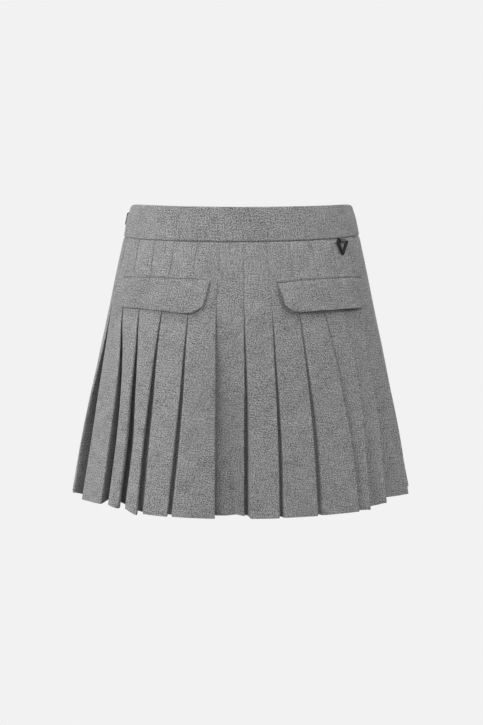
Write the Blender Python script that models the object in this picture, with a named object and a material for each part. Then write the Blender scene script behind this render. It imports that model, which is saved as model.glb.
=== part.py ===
"""Knife-pleated mini skirt with a contoured waistband and two pocket flaps, held open as when worn.

The side that shows pocket flaps faces -Y and +X is at the viewer's right. The origin is the centre
of the waist opening. A place on the cloth is given by its height and by its arc, the distance
round the body from the middle of the flap side, positive towards +X.
"""

import math

import bmesh
import bpy
import numpy as np
from mathutils import Matrix, Vector

MM = 0.001

# Cloth
WALL = 1.0 * MM
LAYER_GAP = 0.5 * MM
SEAM_GAP = 0.3 * MM
BAND_WALL = 2.6 * MM
FLAP_WALL = 2.0 * MM

# The cloth's outer face at each height, metres: height, half width (X), half depth (Y)
SECTIONS = (
    (0.0075, 0.1365, 0.0950),
    (-0.0080, 0.1408, 0.0964),
    (-0.0335, 0.1452, 0.1000),
    (-0.0760, 0.1549, 0.1125),
    (-0.1170, 0.1632, 0.1222),
    (-0.1760, 0.1763, 0.1312),
    (-0.2270, 0.1871, 0.1372),
    (-0.2900, 0.1996, 0.1446),
    (-0.3570, 0.2126, 0.1520),
)

# Waistband
WAIST_RISE = 7.5 * MM
WAIST_CORNER = 4.5
SEAM_HEIGHT = -33.5 * MM
SEAM_BACK_DROP = 9.0 * MM
SEAM_SIDE_RISE = 2.2 * MM
SEAM_RISE_REACH = 36.0 * MM
BAND_PROUD = 0.4 * MM
BAND_ROW_SHARES = (0.0, 0.22, 0.6, 1.0)
BAND_COLUMNS = 28

# Pleated body
HEM_HEIGHT = -357.0 * MM
HEM_SIDE_LIFT = 6.0 * MM
HEM_FLARE = 0.19
PLEATS = 28
PANEL_PLEATS = 14
FIRST_FRONT_PLEAT = -6
PLEAT_OFFSET = 0.1
TUCK = 20.0 * MM
TUCK_LEAST = 7.0 * MM
TUCK_MOST_SHARE = 0.85
UNDER_FOLD_SHARE = 0.6
KNEE_SHARE = 0.4
RELEASE_HEIGHT = -110.0 * MM
FULLY_OPEN_HEIGHT = -305.0 * MM
SKIRT_ROWS = (-0.0338, -0.0750, -0.1170, -0.1650, -0.2200, -0.2850, -0.3570)

# Where each pleat's outer fold hangs, millimetres. shifts move it round the body from its even place
# at the shift heights. out lifts it off the section's outline at the hem and opening is how far the
# pleat parts there. rise_left and rise_right lift the hem at the two edges of its face. Pleat 0 is
# the middle of the flap side.
SHIFT_HEIGHTS = (-0.0335, -0.0740, -0.1170, -0.1720, -0.2200, -0.2700, -0.3570)
PLEAT_COLUMNS = ("out", "opening", "rise_left", "rise_right")
PLEAT_TABLE = {
    -6: (0.0, -3.0, -8.0, -3.0, -1.0, 1.0, 5.0, 8.0, 4.0, 2.0, 5.0),
    -5: (0.0, 1.5, -6.0, 4.5, 10.5, 13.5, 16.5, 1.0, 9.0, -2.0, 2.0),
    -4: (-2.0, 0.5, -7.0, -3.0, -0.5, 3.0, 4.0, 1.0, 9.0, 4.0, 1.5),
    -3: (-2.0, -2.0, -6.0, -9.0, -10.0, -11.0, -10.0, 1.0, 8.0, 4.0, -2.5),
    -2: (0.0, -1.5, -3.5, -5.0, -6.0, -8.0, -12.0, 0.0, 6.0, -0.5, -1.0),
    -1: (-0.5, -1.0, -1.5, 0.0, 1.5, 3.0, 5.0, 0.0, 3.5, 0.0, -1.0),
    0: (-0.5, -1.0, -0.5, 0.0, 0.0, -0.5, -0.5, 0.0, 2.5, 1.0, 1.5),
    1: (-2.0, 0.0, 1.0, 1.0, 1.5, 1.5, 0.0, 1.0, 4.0, -0.5, 0.0),
    2: (-2.0, -1.0, 2.0, 4.5, 6.5, 7.5, 6.0, 1.0, 5.0, 0.0, 0.0),
    3: (-1.0, 0.0, 3.0, 10.5, 14.5, 19.0, 20.0, 1.0, 4.0, 0.0, -0.5),
    4: (0.0, 0.0, 0.0, 3.5, 4.0, 0.0, -5.5, 0.0, 3.0, 0.0, -0.5),
    5: (0.0, 0.0, -1.0, -4.0, -7.5, -12.0, -21.0, 0.0, 3.0, 1.0, 3.5),
    6: (0.0, 0.0, 0.0, -3.0, -6.0, -10.0, -18.0, 8.0, 3.0, 6.0, 0.0),
    7: (0.0, 0.0, 0.0, -1.0, -2.0, -3.5, -6.0, -3.0, 5.0, 0.0, 1.0),
    8: (0.0, 0.0, 0.0, 1.0, 2.0, 2.5, 3.0, 0.0, 5.0, 1.0, -1.0),
    9: (0.0, 0.5, 1.0, -0.5, -2.0, -3.0, -4.0, 0.0, 6.0, 0.0, 1.5),
    10: (0.0, 0.0, 0.0, 1.5, 3.0, 4.0, 5.0, 0.0, 4.0, 1.0, 0.0),
    11: (0.0, -0.5, -1.0, -2.0, -3.0, -4.0, -6.0, 1.0, 7.0, 0.0, -1.5),
    12: (0.0, 0.0, 0.0, 0.5, 1.0, 1.5, 2.0, 0.0, 3.0, -1.0, 0.0),
    13: (0.0, 0.5, 1.0, 2.5, 4.0, 5.0, 6.0, 0.0, 4.0, 0.0, 1.0),
    14: (0.0, 0.0, 0.0, 0.0, 0.0, -0.5, -1.0, 0.0, 3.0, 1.0, -0.5),
    15: (0.0, 0.0, 0.0, -1.0, -2.0, -2.5, -3.0, 0.0, 3.5, 0.0, 1.0),
    16: (0.0, 0.5, 1.0, 1.5, 2.0, 3.0, 4.0, 0.0, 4.0, 0.0, -1.0),
    17: (0.0, 0.0, 0.0, -1.5, -3.0, -4.5, -7.0, 1.0, 6.0, -1.0, 1.0),
    18: (0.0, 0.5, 1.0, 2.0, 3.0, 4.0, 5.0, 0.0, 5.0, 1.0, 0.0),
    19: (0.0, 0.0, 0.0, -1.0, -2.0, -3.0, -4.0, 0.0, 7.0, 0.0, -1.0),
    20: (0.0, -0.5, -1.0, 0.0, 1.0, 2.0, 3.0, 0.0, 5.0, -1.0, 1.0),
    21: (0.0, -1.0, -2.0, -3.0, -4.0, -4.5, -5.0, -3.0, 5.0, 1.0, 2.0),
}

# Pocket flap: its outline as arc from the middle and drop below its top edge, at either end
FLAP_TOP_HEIGHT = -74.0 * MM
FLAP_DROP = 42.0 * MM
FLAP_INNER_ARC = 39.5 * MM
FLAP_OUTER_ARC = 170.5 * MM
FLAP_INNER_SLANT = 5.0 * MM
FLAP_OUTER_FLARE = 6.0 * MM
FLAP_INNER_CUT = (10.0 * MM, 10.0 * MM)
FLAP_OUTER_CUT = (20.0 * MM, 12.0 * MM)
FLAP_MIDDLE_COLUMNS = 14
FLAP_ROWS = 5

# Triangular ring on its tape loop
RING_ARC = 129.5 * MM
RING_BAR_DROP = 3.4 * MM
RING_SIDE = 22.5 * MM
RING_BAR = 1.6 * MM
RING_ARM = 3.0 * MM
RING_THICKNESS = 2.2 * MM
RING_CORNER = 1.6 * MM
RING_TILT = math.radians(-6.0)
RING_LEAN = math.radians(3.8)
TAPE_WIDTH = 9.6 * MM
TAPE_WALL = 1.0 * MM
TAPE_SHIFT = -0.4 * MM
LOOP_ROOM = 3.1 * MM

# Concealed zip's slider and pull tab, on the side seam at the viewer's left
ZIP_HEIGHT = -6.5 * MM
SLIDER_SIZE = (0.9 * MM, 5.4 * MM, 5.0 * MM)
LUG_SIZE = (1.3 * MM, 1.2 * MM, 2.4 * MM)
PULL_BARREL_RADIUS = 0.45 * MM
PULL_NECK_WIDTH = 2.0 * MM
PULL_WIDTH = 4.2 * MM
PULL_LENGTH = 14.0 * MM
PULL_THICKNESS = 1.0 * MM

# Finishes: base colour, roughness, metallic
WOOL = ("wool_flannel", (0.27, 0.27, 0.275), 0.95, 0.0)
BLACK_METAL = ("black_metal", (0.02, 0.02, 0.022), 0.35, 1.0)
BLACK_TAPE = ("black_tape", (0.025, 0.025, 0.027), 0.8, 0.0)


def shape(height):
    """Half width and half depth of the outer face at a height."""
    heights, widths, depths = zip(*SECTIONS[::-1])
    return np.interp(height, heights, widths), np.interp(height, heights, depths)


class Ring:
    """The oval outline of the cloth's outer face at one height."""

    STEPS = 1440

    def __init__(self, height):
        self.half_width, self.half_depth = shape(height)
        angles = np.linspace(-2.0 * math.pi, 2.0 * math.pi, 2 * self.STEPS + 1)
        speed = np.hypot(self.half_width * np.cos(angles), self.half_depth * np.sin(angles))
        steps = 0.5 * (speed[1:] + speed[:-1]) * np.diff(angles)
        arcs = np.concatenate(([0.0], np.cumsum(steps)))
        self.angles = angles
        self.arcs = arcs - arcs[self.STEPS]
        self.girth = self.arcs[-1]

    def angle(self, arc):
        """The angle round the body at an arc from the middle of the flap side."""
        return float(np.interp(arc, self.arcs, self.angles))

    def arc(self, angle):
        """The arc at an angle."""
        return float(np.interp(angle, self.angles, self.arcs))

    def place(self, angle, out):
        """The point (x, y) at an angle, a distance out from the outline."""
        across = Vector((self.half_width * math.sin(angle), -self.half_depth * math.cos(angle)))
        normal = Vector((self.half_depth * math.sin(angle), -self.half_width * math.cos(angle)))
        return across + normal.normalized() * out


def waist_top(angle):
    """Height of the waistband's upper edge: level on the flap side, lower on the other."""
    return WAIST_RISE * math.tanh(WAIST_CORNER * math.cos(angle)) / math.tanh(WAIST_CORNER)


def seam_dip(angle):
    """How far the waist seam drops towards the far side."""
    return SEAM_BACK_DROP * (0.5 - 0.5 * math.cos(angle)) ** 3.5


def seam_rise(angle):
    """How far the waist seam rises at the +X side."""
    return SEAM_SIDE_RISE * max(0.0, math.sin(angle)) ** 2


def seam_height(angle):
    """Height of the waist seam."""
    return SEAM_HEIGHT - seam_dip(angle) + seam_rise(angle)


def hung_height(level, angle):
    """Real height of a level line of the pleated body, between the waist seam and the hem."""
    share = (SEAM_HEIGHT - level) / (SEAM_HEIGHT - HEM_HEIGHT)
    near_seam = max(0.0, 1.0 - (SEAM_HEIGHT - level) / SEAM_RISE_REACH)
    lift = HEM_SIDE_LIFT * share * math.sin(angle) ** 4
    return level - seam_dip(angle) * (1.0 - share) + seam_rise(angle) * near_seam + lift


def opened(level):
    """How far the pleats have parted at a level: 0 where they are stitched, 1 near the hem."""
    share = (RELEASE_HEIGHT - level) / (RELEASE_HEIGHT - FULLY_OPEN_HEIGHT)
    return math.sin(0.5 * math.pi * min(1.0, max(0.0, share)))


def pleat_row(pleat):
    """A pleat's row of the table, in metres: its shifts, and the other columns by name."""
    number = (pleat - FIRST_FRONT_PLEAT) % PLEATS + FIRST_FRONT_PLEAT
    values = [value * MM for value in PLEAT_TABLE[number]]
    shifts = values[: len(SHIFT_HEIGHTS)]
    return shifts, dict(zip(PLEAT_COLUMNS, values[len(SHIFT_HEIGHTS) :]))


def fold_arc(pleat, level, ring):
    """Arc of a pleat's outer fold at a level."""
    shifts = pleat_row(pleat)[0]
    even = (pleat + PLEAT_OFFSET) * ring.girth / PLEATS
    return even + np.interp(level, SHIFT_HEIGHTS[::-1], shifts[::-1])


def tuck_arc(pleat, level, ring, pleat_cloth):
    """Arc of the inner fold under a pleat's outer fold."""
    fold = fold_arc(pleat, level, ring)
    spacing = fold - fold_arc(pleat - 1, level, ring)
    tuck = min(TUCK, 0.5 * (pleat_cloth - spacing), TUCK_MOST_SHARE * spacing)
    return fold - max(tuck, TUCK_LEAST)


def pleat_line(first, count, level, ring, pleat_cloth):
    """The cloth's middle line over some pleats at a level, as (arc, depth, rise) points."""
    pitch = WALL + LAYER_GAP
    half = 0.5 * WALL
    spread = opened(level)
    risen = ((SEAM_HEIGHT - level) / (SEAM_HEIGHT - HEM_HEIGHT)) ** 4
    line = []
    for pleat in range(first, first + count):
        before = pleat_row(pleat - 1)[1]
        row = pleat_row(pleat)[1]
        after = pleat_row(pleat + 1)[1]
        start = tuck_arc(pleat - 1, level, ring, pleat_cloth) + half
        under = fold_arc(pleat - 1, level, ring) + half
        fold = fold_arc(pleat, level, ring) - half
        end = tuck_arc(pleat, level, ring, pleat_cloth) + half
        sunk = min(0.0, before["out"]) * spread**2 - half - 2.0 * pitch
        start_depth = sunk - before["opening"] * spread
        under_depth = sunk - before["opening"] * spread * UNDER_FOLD_SHARE
        top = row["out"] * spread**2 - half
        end_depth = min(top, -half) - pitch - row["opening"] * spread
        knee = under + (end - WALL - under) * (KNEE_SHARE + (1.0 - KNEE_SHARE) * spread)
        straight = under_depth + (top - under_depth) * (knee - under) / (fold - under)
        knee_depth = max(straight, end_depth + pitch)
        face = (
            (start, start_depth),
            (0.5 * (start + under), 0.5 * (start_depth + under_depth)),
            (under, under_depth),
            (0.5 * (under + knee), 0.5 * (under_depth + knee_depth)),
            (knee, knee_depth),
            (0.5 * (knee + fold), 0.5 * (knee_depth + top)),
            (fold, top),
        )
        turned = (
            (fold, top - pitch),
            (0.5 * (fold + end), 0.5 * (top - pitch + end_depth)),
            (end, end_depth),
        )
        for arc, depth in face:
            rise = np.interp(arc, (under, fold), (row["rise_left"], row["rise_right"]))
            line.append((arc, depth, rise * risen))
        for arc, depth in turned:
            rise = np.interp(arc, (end, fold), (after["rise_left"], row["rise_right"]))
            line.append((arc, depth, rise * risen))
    return line


def beside(line, distance):
    """A line moved sideways by a distance, its corners mitred."""
    points = [Vector(point[:2]) for point in line]
    ways = [(b - a).normalized() for a, b in zip(points, points[1:])]
    sides = [Vector((-way.y, way.x)) for way in ways]
    moved = []
    for index, point in enumerate(points):
        before = sides[max(index - 1, 0)]
        after = sides[min(index, len(sides) - 1)]
        moved.append(point + (before + after) * (distance / (1.0 + before.dot(after))))
    return moved


def finish(name, colour, roughness, metallic):
    """The Principled material of a finish, made once."""
    material = bpy.data.materials.get(name)
    if material is None:
        material = bpy.data.materials.new(name)
        material.use_nodes = True
        shader = material.node_tree.nodes["Principled BSDF"]
        shader.inputs["Base Color"].default_value = (*colour, 1.0)
        shader.inputs["Roughness"].default_value = roughness
        shader.inputs["Metallic"].default_value = metallic
    return material


def add_object(name, bm, look, collection):
    """A new object from a bmesh, with its finish."""
    mesh = bpy.data.meshes.new(name)
    bm.to_mesh(mesh)
    bm.free()
    mesh.materials.append(finish(*look))
    part = bpy.data.objects.new(name, mesh)
    collection.objects.link(part)
    return part


def wall(name, outer, inner, look, collection):
    """A closed wall between two matching grids of points, indexed [column][row]."""
    bm = bmesh.new()
    skins = [[[bm.verts.new(point) for point in column] for column in grid] for grid in (outer, inner)]
    columns = len(outer)
    rows = len(outer[0])
    for skin in skins:
        for i in range(columns - 1):
            for j in range(rows - 1):
                bm.faces.new((skin[i][j], skin[i + 1][j], skin[i + 1][j + 1], skin[i][j + 1]))
    rim = [(i, 0) for i in range(columns)]
    rim += [(columns - 1, j) for j in range(1, rows)]
    rim += [(i, rows - 1) for i in range(columns - 2, -1, -1)]
    rim += [(0, j) for j in range(rows - 2, 0, -1)]
    for (i, j), (k, l) in zip(rim, rim[1:] + rim[:1]):
        bm.faces.new((skins[0][i][j], skins[0][k][l], skins[1][k][l], skins[1][i][j]))
    bmesh.ops.recalc_face_normals(bm, faces=bm.faces)
    return add_object(name, bm, look, collection)


def pleated_panel(name, first, collection):
    """Half of the pleated body, from one side seam to the other."""
    seam_pitch = Ring(SEAM_HEIGHT).girth / PLEATS
    pleat_cloth = seam_pitch + 2.0 * TUCK
    rows = []
    for level in SKIRT_ROWS:
        ring = Ring(level)
        middle = pleat_line(first, PANEL_PLEATS, level, ring, pleat_cloth)
        sides = []
        for distance in (0.5 * WALL, -0.5 * WALL):
            side = []
            for (arc, depth), (*_, rise) in zip(beside(middle, distance), middle):
                angle = ring.angle(arc)
                place = ring.place(angle, depth - HEM_FLARE * rise)
                side.append((*place, hung_height(level, angle) + rise))
            sides.append(side)
        rows.append(sides)
    outer, inner = ([list(column) for column in zip(*(row[side] for row in rows))] for side in (0, 1))
    return wall(name, outer, inner, WOOL, collection)


def band_point(angle, share, depth):
    """A point of the waistband, a share of the way down from its top edge."""
    top = waist_top(angle)
    bottom = seam_height(angle) + 0.5 * SEAM_GAP
    height = top + (bottom - top) * share
    level = WAIST_RISE + (SEAM_HEIGHT - WAIST_RISE) * share
    return (*Ring(level).place(angle, BAND_PROUD - depth), height)


def waistband(name, middle_angle, collection):
    """Half of the waistband, ending at the side seams."""
    half_turn = 0.5 * math.pi - 0.5 * SEAM_GAP / shape(SEAM_HEIGHT)[1]
    angles = np.linspace(middle_angle - half_turn, middle_angle + half_turn, BAND_COLUMNS + 1)
    outer = [[band_point(angle, share, 0.0) for share in BAND_ROW_SHARES] for angle in angles]
    inner = [[band_point(angle, share, BAND_WALL) for share in BAND_ROW_SHARES] for angle in angles]
    return wall(name, outer, inner, WOOL, collection)


def flap_edges(drop):
    """Arcs of a flap's two ends at a drop below its top edge, before the corners are cut."""
    share = drop / FLAP_DROP
    return FLAP_INNER_ARC + FLAP_INNER_SLANT * share, FLAP_OUTER_ARC + FLAP_OUTER_FLARE * share


def flap_depth(across):
    """How far down a flap reaches at a distance from its inner end, its lower corners cut."""
    width = FLAP_OUTER_ARC - FLAP_INNER_ARC
    inner_cut = FLAP_INNER_CUT[1] * max(0.0, 1.0 - across / FLAP_INNER_CUT[0])
    outer_cut = FLAP_OUTER_CUT[1] * max(0.0, 1.0 - (width - across) / FLAP_OUTER_CUT[0])
    return FLAP_DROP - inner_cut - outer_cut


def pocket_flap(name, side, collection):
    """A pocket flap lying on the stitched-down pleats. side is +1 at the viewer's right."""
    width = FLAP_OUTER_ARC - FLAP_INNER_ARC
    inner_corner = np.linspace(0.0, FLAP_INNER_CUT[0], 3)
    outer_corner = np.linspace(width - FLAP_OUTER_CUT[0], width, 4)
    plain = np.linspace(FLAP_INNER_CUT[0], width - FLAP_OUTER_CUT[0], FLAP_MIDDLE_COLUMNS)
    placement = Ring(FLAP_TOP_HEIGHT - 0.5 * FLAP_DROP)
    skins = []
    for out in (SEAM_GAP + FLAP_WALL, SEAM_GAP):
        skin = []
        for across in (*inner_corner[:-1], *plain, *outer_corner[1:]):
            column = []
            for row in range(FLAP_ROWS + 1):
                drop = flap_depth(across) * row / FLAP_ROWS
                start, end = flap_edges(drop)
                angle = placement.angle(side * (start + (end - start) * across / width))
                height = FLAP_TOP_HEIGHT - drop
                column.append((*Ring(height).place(angle, out), height))
            skin.append(column)
        skins.append(skin)
    return wall(name, skins[0], skins[1], WOOL, collection)


def outline_solid(name, outlines, thickness, look, collection):
    """A flat solid from closed outlines of (x, z, corner) points, the first its edge, others holes."""
    curve = bpy.data.curves.new(name, "CURVE")
    curve.dimensions = "2D"
    curve.fill_mode = "BOTH"
    curve.extrude = 0.5 * thickness
    for outline in outlines:
        spline = curve.splines.new("POLY")
        points = rounded(outline)
        spline.points.add(len(points) - 1)
        for point, (x, z) in zip(spline.points, points):
            point.co = (x, z, 0.0, 1.0)
        spline.use_cyclic_u = True
    source = bpy.data.objects.new(name, curve)
    collection.objects.link(source)
    bpy.context.view_layer.update()
    graph = bpy.context.evaluated_depsgraph_get()
    mesh = bpy.data.meshes.new_from_object(source.evaluated_get(graph))
    bpy.data.objects.remove(source)
    bm = bmesh.new()
    bm.from_mesh(mesh)
    bpy.data.meshes.remove(mesh)
    bmesh.ops.remove_doubles(bm, verts=bm.verts, dist=0.01 * MM)
    bmesh.ops.recalc_face_normals(bm, faces=bm.faces)
    return add_object(name, bm, look, collection)


def rounded(outline, steps=4):
    """An outline's points with each corner turned as an arc of its own radius."""
    points = []
    for index, (x, z, radius) in enumerate(outline):
        corner = Vector((x, z))
        before = (Vector(outline[index - 1][:2]) - corner).normalized()
        after = (Vector(outline[(index + 1) % len(outline)][:2]) - corner).normalized()
        if radius == 0.0:
            points.append(corner)
            continue
        half_angle = 0.5 * before.angle(after)
        centre = corner + (before + after).normalized() * (radius / math.sin(half_angle))
        start = (corner + before * (radius / math.tan(half_angle)) - centre).normalized()
        end = (corner + after * (radius / math.tan(half_angle)) - centre).normalized()
        for step in range(steps + 1):
            points.append(centre + start.slerp(end, step / steps) * radius)
    return points


def cloth_frame(angle, height, out):
    """A frame on the cloth: X along it towards rising arc, Y inwards through it, Z up it."""
    below = 5.0 * MM
    here = Vector((*Ring(height).place(angle, out), height))
    lower = Vector((*Ring(height - below).place(angle, out), height - below))
    up = (here - lower).normalized()
    along = Vector((math.cos(angle) * shape(height)[0], math.sin(angle) * shape(height)[1], 0.0))
    along = (along - up * along.dot(up)).normalized()
    inwards = up.cross(along)
    return Matrix((along, inwards, up)).transposed().to_4x4(), here


def ring_frame():
    """Frame of the triangular ring: its origin in the middle of the bar that hangs in the loop."""
    angle = Ring(SEAM_HEIGHT).angle(RING_ARC)
    out = SEAM_GAP + TAPE_WALL + 0.5 * LOOP_ROOM
    turn, place = cloth_frame(angle, SEAM_HEIGHT - RING_BAR_DROP, out)
    place.z += seam_height(angle) - SEAM_HEIGHT
    return Matrix.Translation(place) @ turn @ Matrix.Rotation(-RING_TILT, 4, "Y")


def triangle(side, corner, drop):
    """A triangle's corners, its top side level and a distance below the origin."""
    tip = side * math.sin(math.radians(60.0))
    return ((0.5 * side, -drop, corner), (-0.5 * side, -drop, corner), (0.0, -drop - tip, corner))


def triangular_ring(collection):
    """The flat triangular ring, leaning so that its tip comes to rest on the cloth."""
    slim = RING_ARM * math.sqrt(3.0)
    hole_side = RING_SIDE - 2.0 * slim + (RING_ARM - RING_BAR) * 2.0 / math.sqrt(3.0)
    edge = triangle(RING_SIDE, RING_CORNER, -0.5 * RING_BAR)
    hole = triangle(hole_side, 0.25 * RING_CORNER, 0.5 * RING_BAR)
    ring = outline_solid("triangle_ring", (edge, hole), RING_THICKNESS, BLACK_METAL, collection)
    stand_up = Matrix.Rotation(math.radians(90.0), 4, "X")
    ring.data.transform(stand_up)
    pivot = bpy.data.objects.new("ring_pivot", None)
    pivot.matrix_world = ring_frame()
    collection.objects.link(pivot)
    ring.parent = pivot
    ring.matrix_local = Matrix.Rotation(RING_LEAN, 4, "X")
    return ring


def tape_loop(collection):
    """The tape loop that is caught in the waist seam and carries the ring."""
    half_room = 0.5 * LOOP_ROOM
    half_out = half_room + TAPE_WALL
    corners = ((1, 1), (-1, 1), (-1, -1), (1, -1))
    outside = [(x * half_out, z * half_out, 0.9 * TAPE_WALL) for x, z in corners]
    inside = [(x * half_room, z * half_room, 0.3 * TAPE_WALL) for x, z in corners]
    loop = outline_solid("ring_tape", (outside, inside), TAPE_WIDTH, BLACK_TAPE, collection)
    stand_up = Matrix.Rotation(math.radians(90.0), 4, "X")
    face_along = Matrix.Rotation(math.radians(90.0), 4, "Z")
    slide_along = Matrix.Translation((TAPE_SHIFT, 0.0, 0.0))
    loop.data.transform(slide_along @ face_along @ stand_up)
    loop.matrix_world = ring_frame()
    return loop


def zip_frame():
    """Frame of the zip's slider: on the waistband's side seam at the viewer's left."""
    angle = -0.5 * math.pi
    share = (waist_top(angle) - ZIP_HEIGHT) / (waist_top(angle) - seam_height(angle))
    upper = Vector(band_point(angle, share - 0.1, 0.0))
    lower = Vector(band_point(angle, share + 0.1, 0.0))
    up = (upper - lower).normalized()
    along = Vector((0.0, -1.0, 0.0))
    turn = Matrix((along, up.cross(along), up)).transposed().to_4x4()
    return Matrix.Translation(0.5 * (upper + lower)) @ turn


def block(bm, size, centre):
    """A box in a bmesh, of a size along X, Y and Z, about a centre."""
    made = bmesh.ops.create_cube(bm, size=1.0)
    bmesh.ops.scale(bm, vec=size, verts=made["verts"])
    bmesh.ops.translate(bm, vec=centre, verts=made["verts"])


def zip_slider(collection):
    """The slider's crown: a plate on the seam with two lugs that carry the pull tab."""
    thickness, width, height = SLIDER_SIZE
    lug_out, lug_wide, lug_high = LUG_SIZE
    bm = bmesh.new()
    block(bm, (width, thickness, height), (0.0, -SEAM_GAP - 0.5 * thickness, 0.0))
    slider = add_object("zip_slider", bm, BLACK_METAL, collection)
    slider.matrix_world = zip_frame()
    bm = bmesh.new()
    for side in (-1.0, 1.0):
        centre = (side * 0.5 * (width - lug_wide), -SEAM_GAP - thickness - 0.5 * lug_out + 0.1 * MM, 0.0)
        block(bm, (lug_wide, lug_out + 0.2 * MM, lug_high), centre)
    lugs = add_object("zip_slider_lugs", bm, BLACK_METAL, cutter_collection())
    lugs.matrix_world = slider.matrix_world
    lugs.hide_render = True
    lugs.display_type = "WIRE"
    join = slider.modifiers.new("lugs", "BOOLEAN")
    join.operation = "UNION"
    join.object = lugs
    return slider


def zip_pull(collection):
    """The pull tab: a plate that hangs from its barrel between the slider's lugs."""
    pivot_out = SEAM_GAP + SLIDER_SIZE[0] + SEAM_GAP + 0.5 * PULL_THICKNESS
    half_neck = 0.5 * PULL_NECK_WIDTH
    half = 0.5 * PULL_WIDTH
    neck_end = -0.5 * LUG_SIZE[2] - SEAM_GAP
    outline = (
        (half_neck, PULL_BARREL_RADIUS, 0.3 * MM),
        (-half_neck, PULL_BARREL_RADIUS, 0.3 * MM),
        (-half_neck, neck_end, 0.0),
        (-half, neck_end - 3.0 * MM, 1.5 * MM),
        (-0.8 * half, -PULL_LENGTH, 1.2 * MM),
        (0.8 * half, -PULL_LENGTH, 1.2 * MM),
        (half, neck_end - 3.0 * MM, 1.5 * MM),
        (half_neck, neck_end, 0.0),
    )
    pull = outline_solid("zip_pull", (outline,), PULL_THICKNESS, BLACK_METAL, collection)
    pull.data.transform(Matrix.Rotation(math.radians(90.0), 4, "X"))
    pivot = bpy.data.objects.new("zip_pull_pivot", None)
    pivot.matrix_world = zip_frame() @ Matrix.Translation((0.0, -pivot_out, 0.0))
    collection.objects.link(pivot)
    pull.parent = pivot
    return pull


def cutter_collection():
    """The collection that holds shapes used only to make others."""
    cutters = bpy.data.collections.get("cutters")
    if cutters is None:
        cutters = bpy.data.collections.new("cutters")
        bpy.context.scene.collection.children.link(cutters)
    return cutters


def main():
    """Clears the scene and makes the skirt."""
    for old in list(bpy.data.objects):
        bpy.data.objects.remove(old)
    skirt = bpy.data.collections.new("pleated_skirt")
    bpy.context.scene.collection.children.link(skirt)
    pleated_panel("skirt_front", FIRST_FRONT_PLEAT, skirt)
    pleated_panel("skirt_back", FIRST_FRONT_PLEAT + PANEL_PLEATS, skirt)
    waistband("waistband_front", 0.0, skirt)
    waistband("waistband_back", math.pi, skirt)
    pocket_flap("flap_left", -1, skirt)
    pocket_flap("flap_right", 1, skirt)
    triangular_ring(skirt)
    tape_loop(skirt)
    zip_slider(skirt)
    zip_pull(skirt)


main()
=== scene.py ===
"""Dressed model of a grey knife-pleated skirt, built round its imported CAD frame.

All lengths are metres in the frame's own axes: +Z is up and -Y faces the camera. A place on the
cloth is given by its height and by its arc, the distance round the body from the middle of the
side with the flaps, positive towards +X. "Out" is the distance off the oval outline of that height.
"""

import logging
import math
from dataclasses import dataclass, field
from enum import Enum
from functools import lru_cache
from typing import Sequence

import bmesh
import bpy
import numpy as np
from mathutils import Matrix, Vector


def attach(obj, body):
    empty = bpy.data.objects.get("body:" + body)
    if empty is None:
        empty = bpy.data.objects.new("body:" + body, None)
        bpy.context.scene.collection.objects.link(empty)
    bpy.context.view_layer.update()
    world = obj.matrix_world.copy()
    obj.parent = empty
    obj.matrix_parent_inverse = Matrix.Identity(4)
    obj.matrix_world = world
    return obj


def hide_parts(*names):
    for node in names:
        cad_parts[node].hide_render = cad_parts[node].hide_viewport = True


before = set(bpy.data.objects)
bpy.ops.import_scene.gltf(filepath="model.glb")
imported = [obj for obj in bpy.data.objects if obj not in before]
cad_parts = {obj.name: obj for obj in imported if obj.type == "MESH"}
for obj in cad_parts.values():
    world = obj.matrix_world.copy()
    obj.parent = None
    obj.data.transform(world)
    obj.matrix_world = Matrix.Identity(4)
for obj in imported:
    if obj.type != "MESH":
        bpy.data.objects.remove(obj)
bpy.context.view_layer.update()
log = logging.getLogger("skirt")

MM = 0.001

# The body: outer face of the cloth at each height: height, half width (X), half depth (Y)
SECTIONS = (
    (0.0075, 0.1365, 0.0950),
    (-0.0080, 0.1408, 0.0964),
    (-0.0335, 0.1452, 0.1000),
    (-0.0760, 0.1549, 0.1125),
    (-0.1170, 0.1632, 0.1222),
    (-0.1760, 0.1763, 0.1312),
    (-0.2270, 0.1871, 0.1372),
    (-0.2900, 0.1996, 0.1446),
    (-0.3570, 0.2126, 0.1520),
)
WAIST_RISE = 7.5 * MM
WAIST_CORNER = 4.5
SEAM_HEIGHT = -33.5 * MM
SEAM_BACK_DROP = 9.0 * MM
SEAM_SIDE_RISE = 2.2 * MM
SEAM_RISE_REACH = 36.0 * MM
SEAM_DIP_POWER = 3.5
HEM_HEIGHT = -357.0 * MM
HEM_SIDE_LIFT = 6.0 * MM
HEM_FLARE = 0.19

# Pleats
PLEATS = 28
PANEL_PLEATS = 14
FIRST_FRONT_PLEAT = -6
PLEAT_OFFSET = 0.1
TUCK = 20.0 * MM
TUCK_LEAST = 7.0 * MM
TUCK_MOST_SHARE = 0.85
UNDER_FOLD_SHARE = 0.6
RELEASE_HEIGHT = -110.0 * MM
FULLY_OPEN_HEIGHT = -305.0 * MM
SHIFT_HEIGHTS = (-0.0335, -0.0740, -0.1170, -0.1720, -0.2200, -0.2700, -0.3570)

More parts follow.
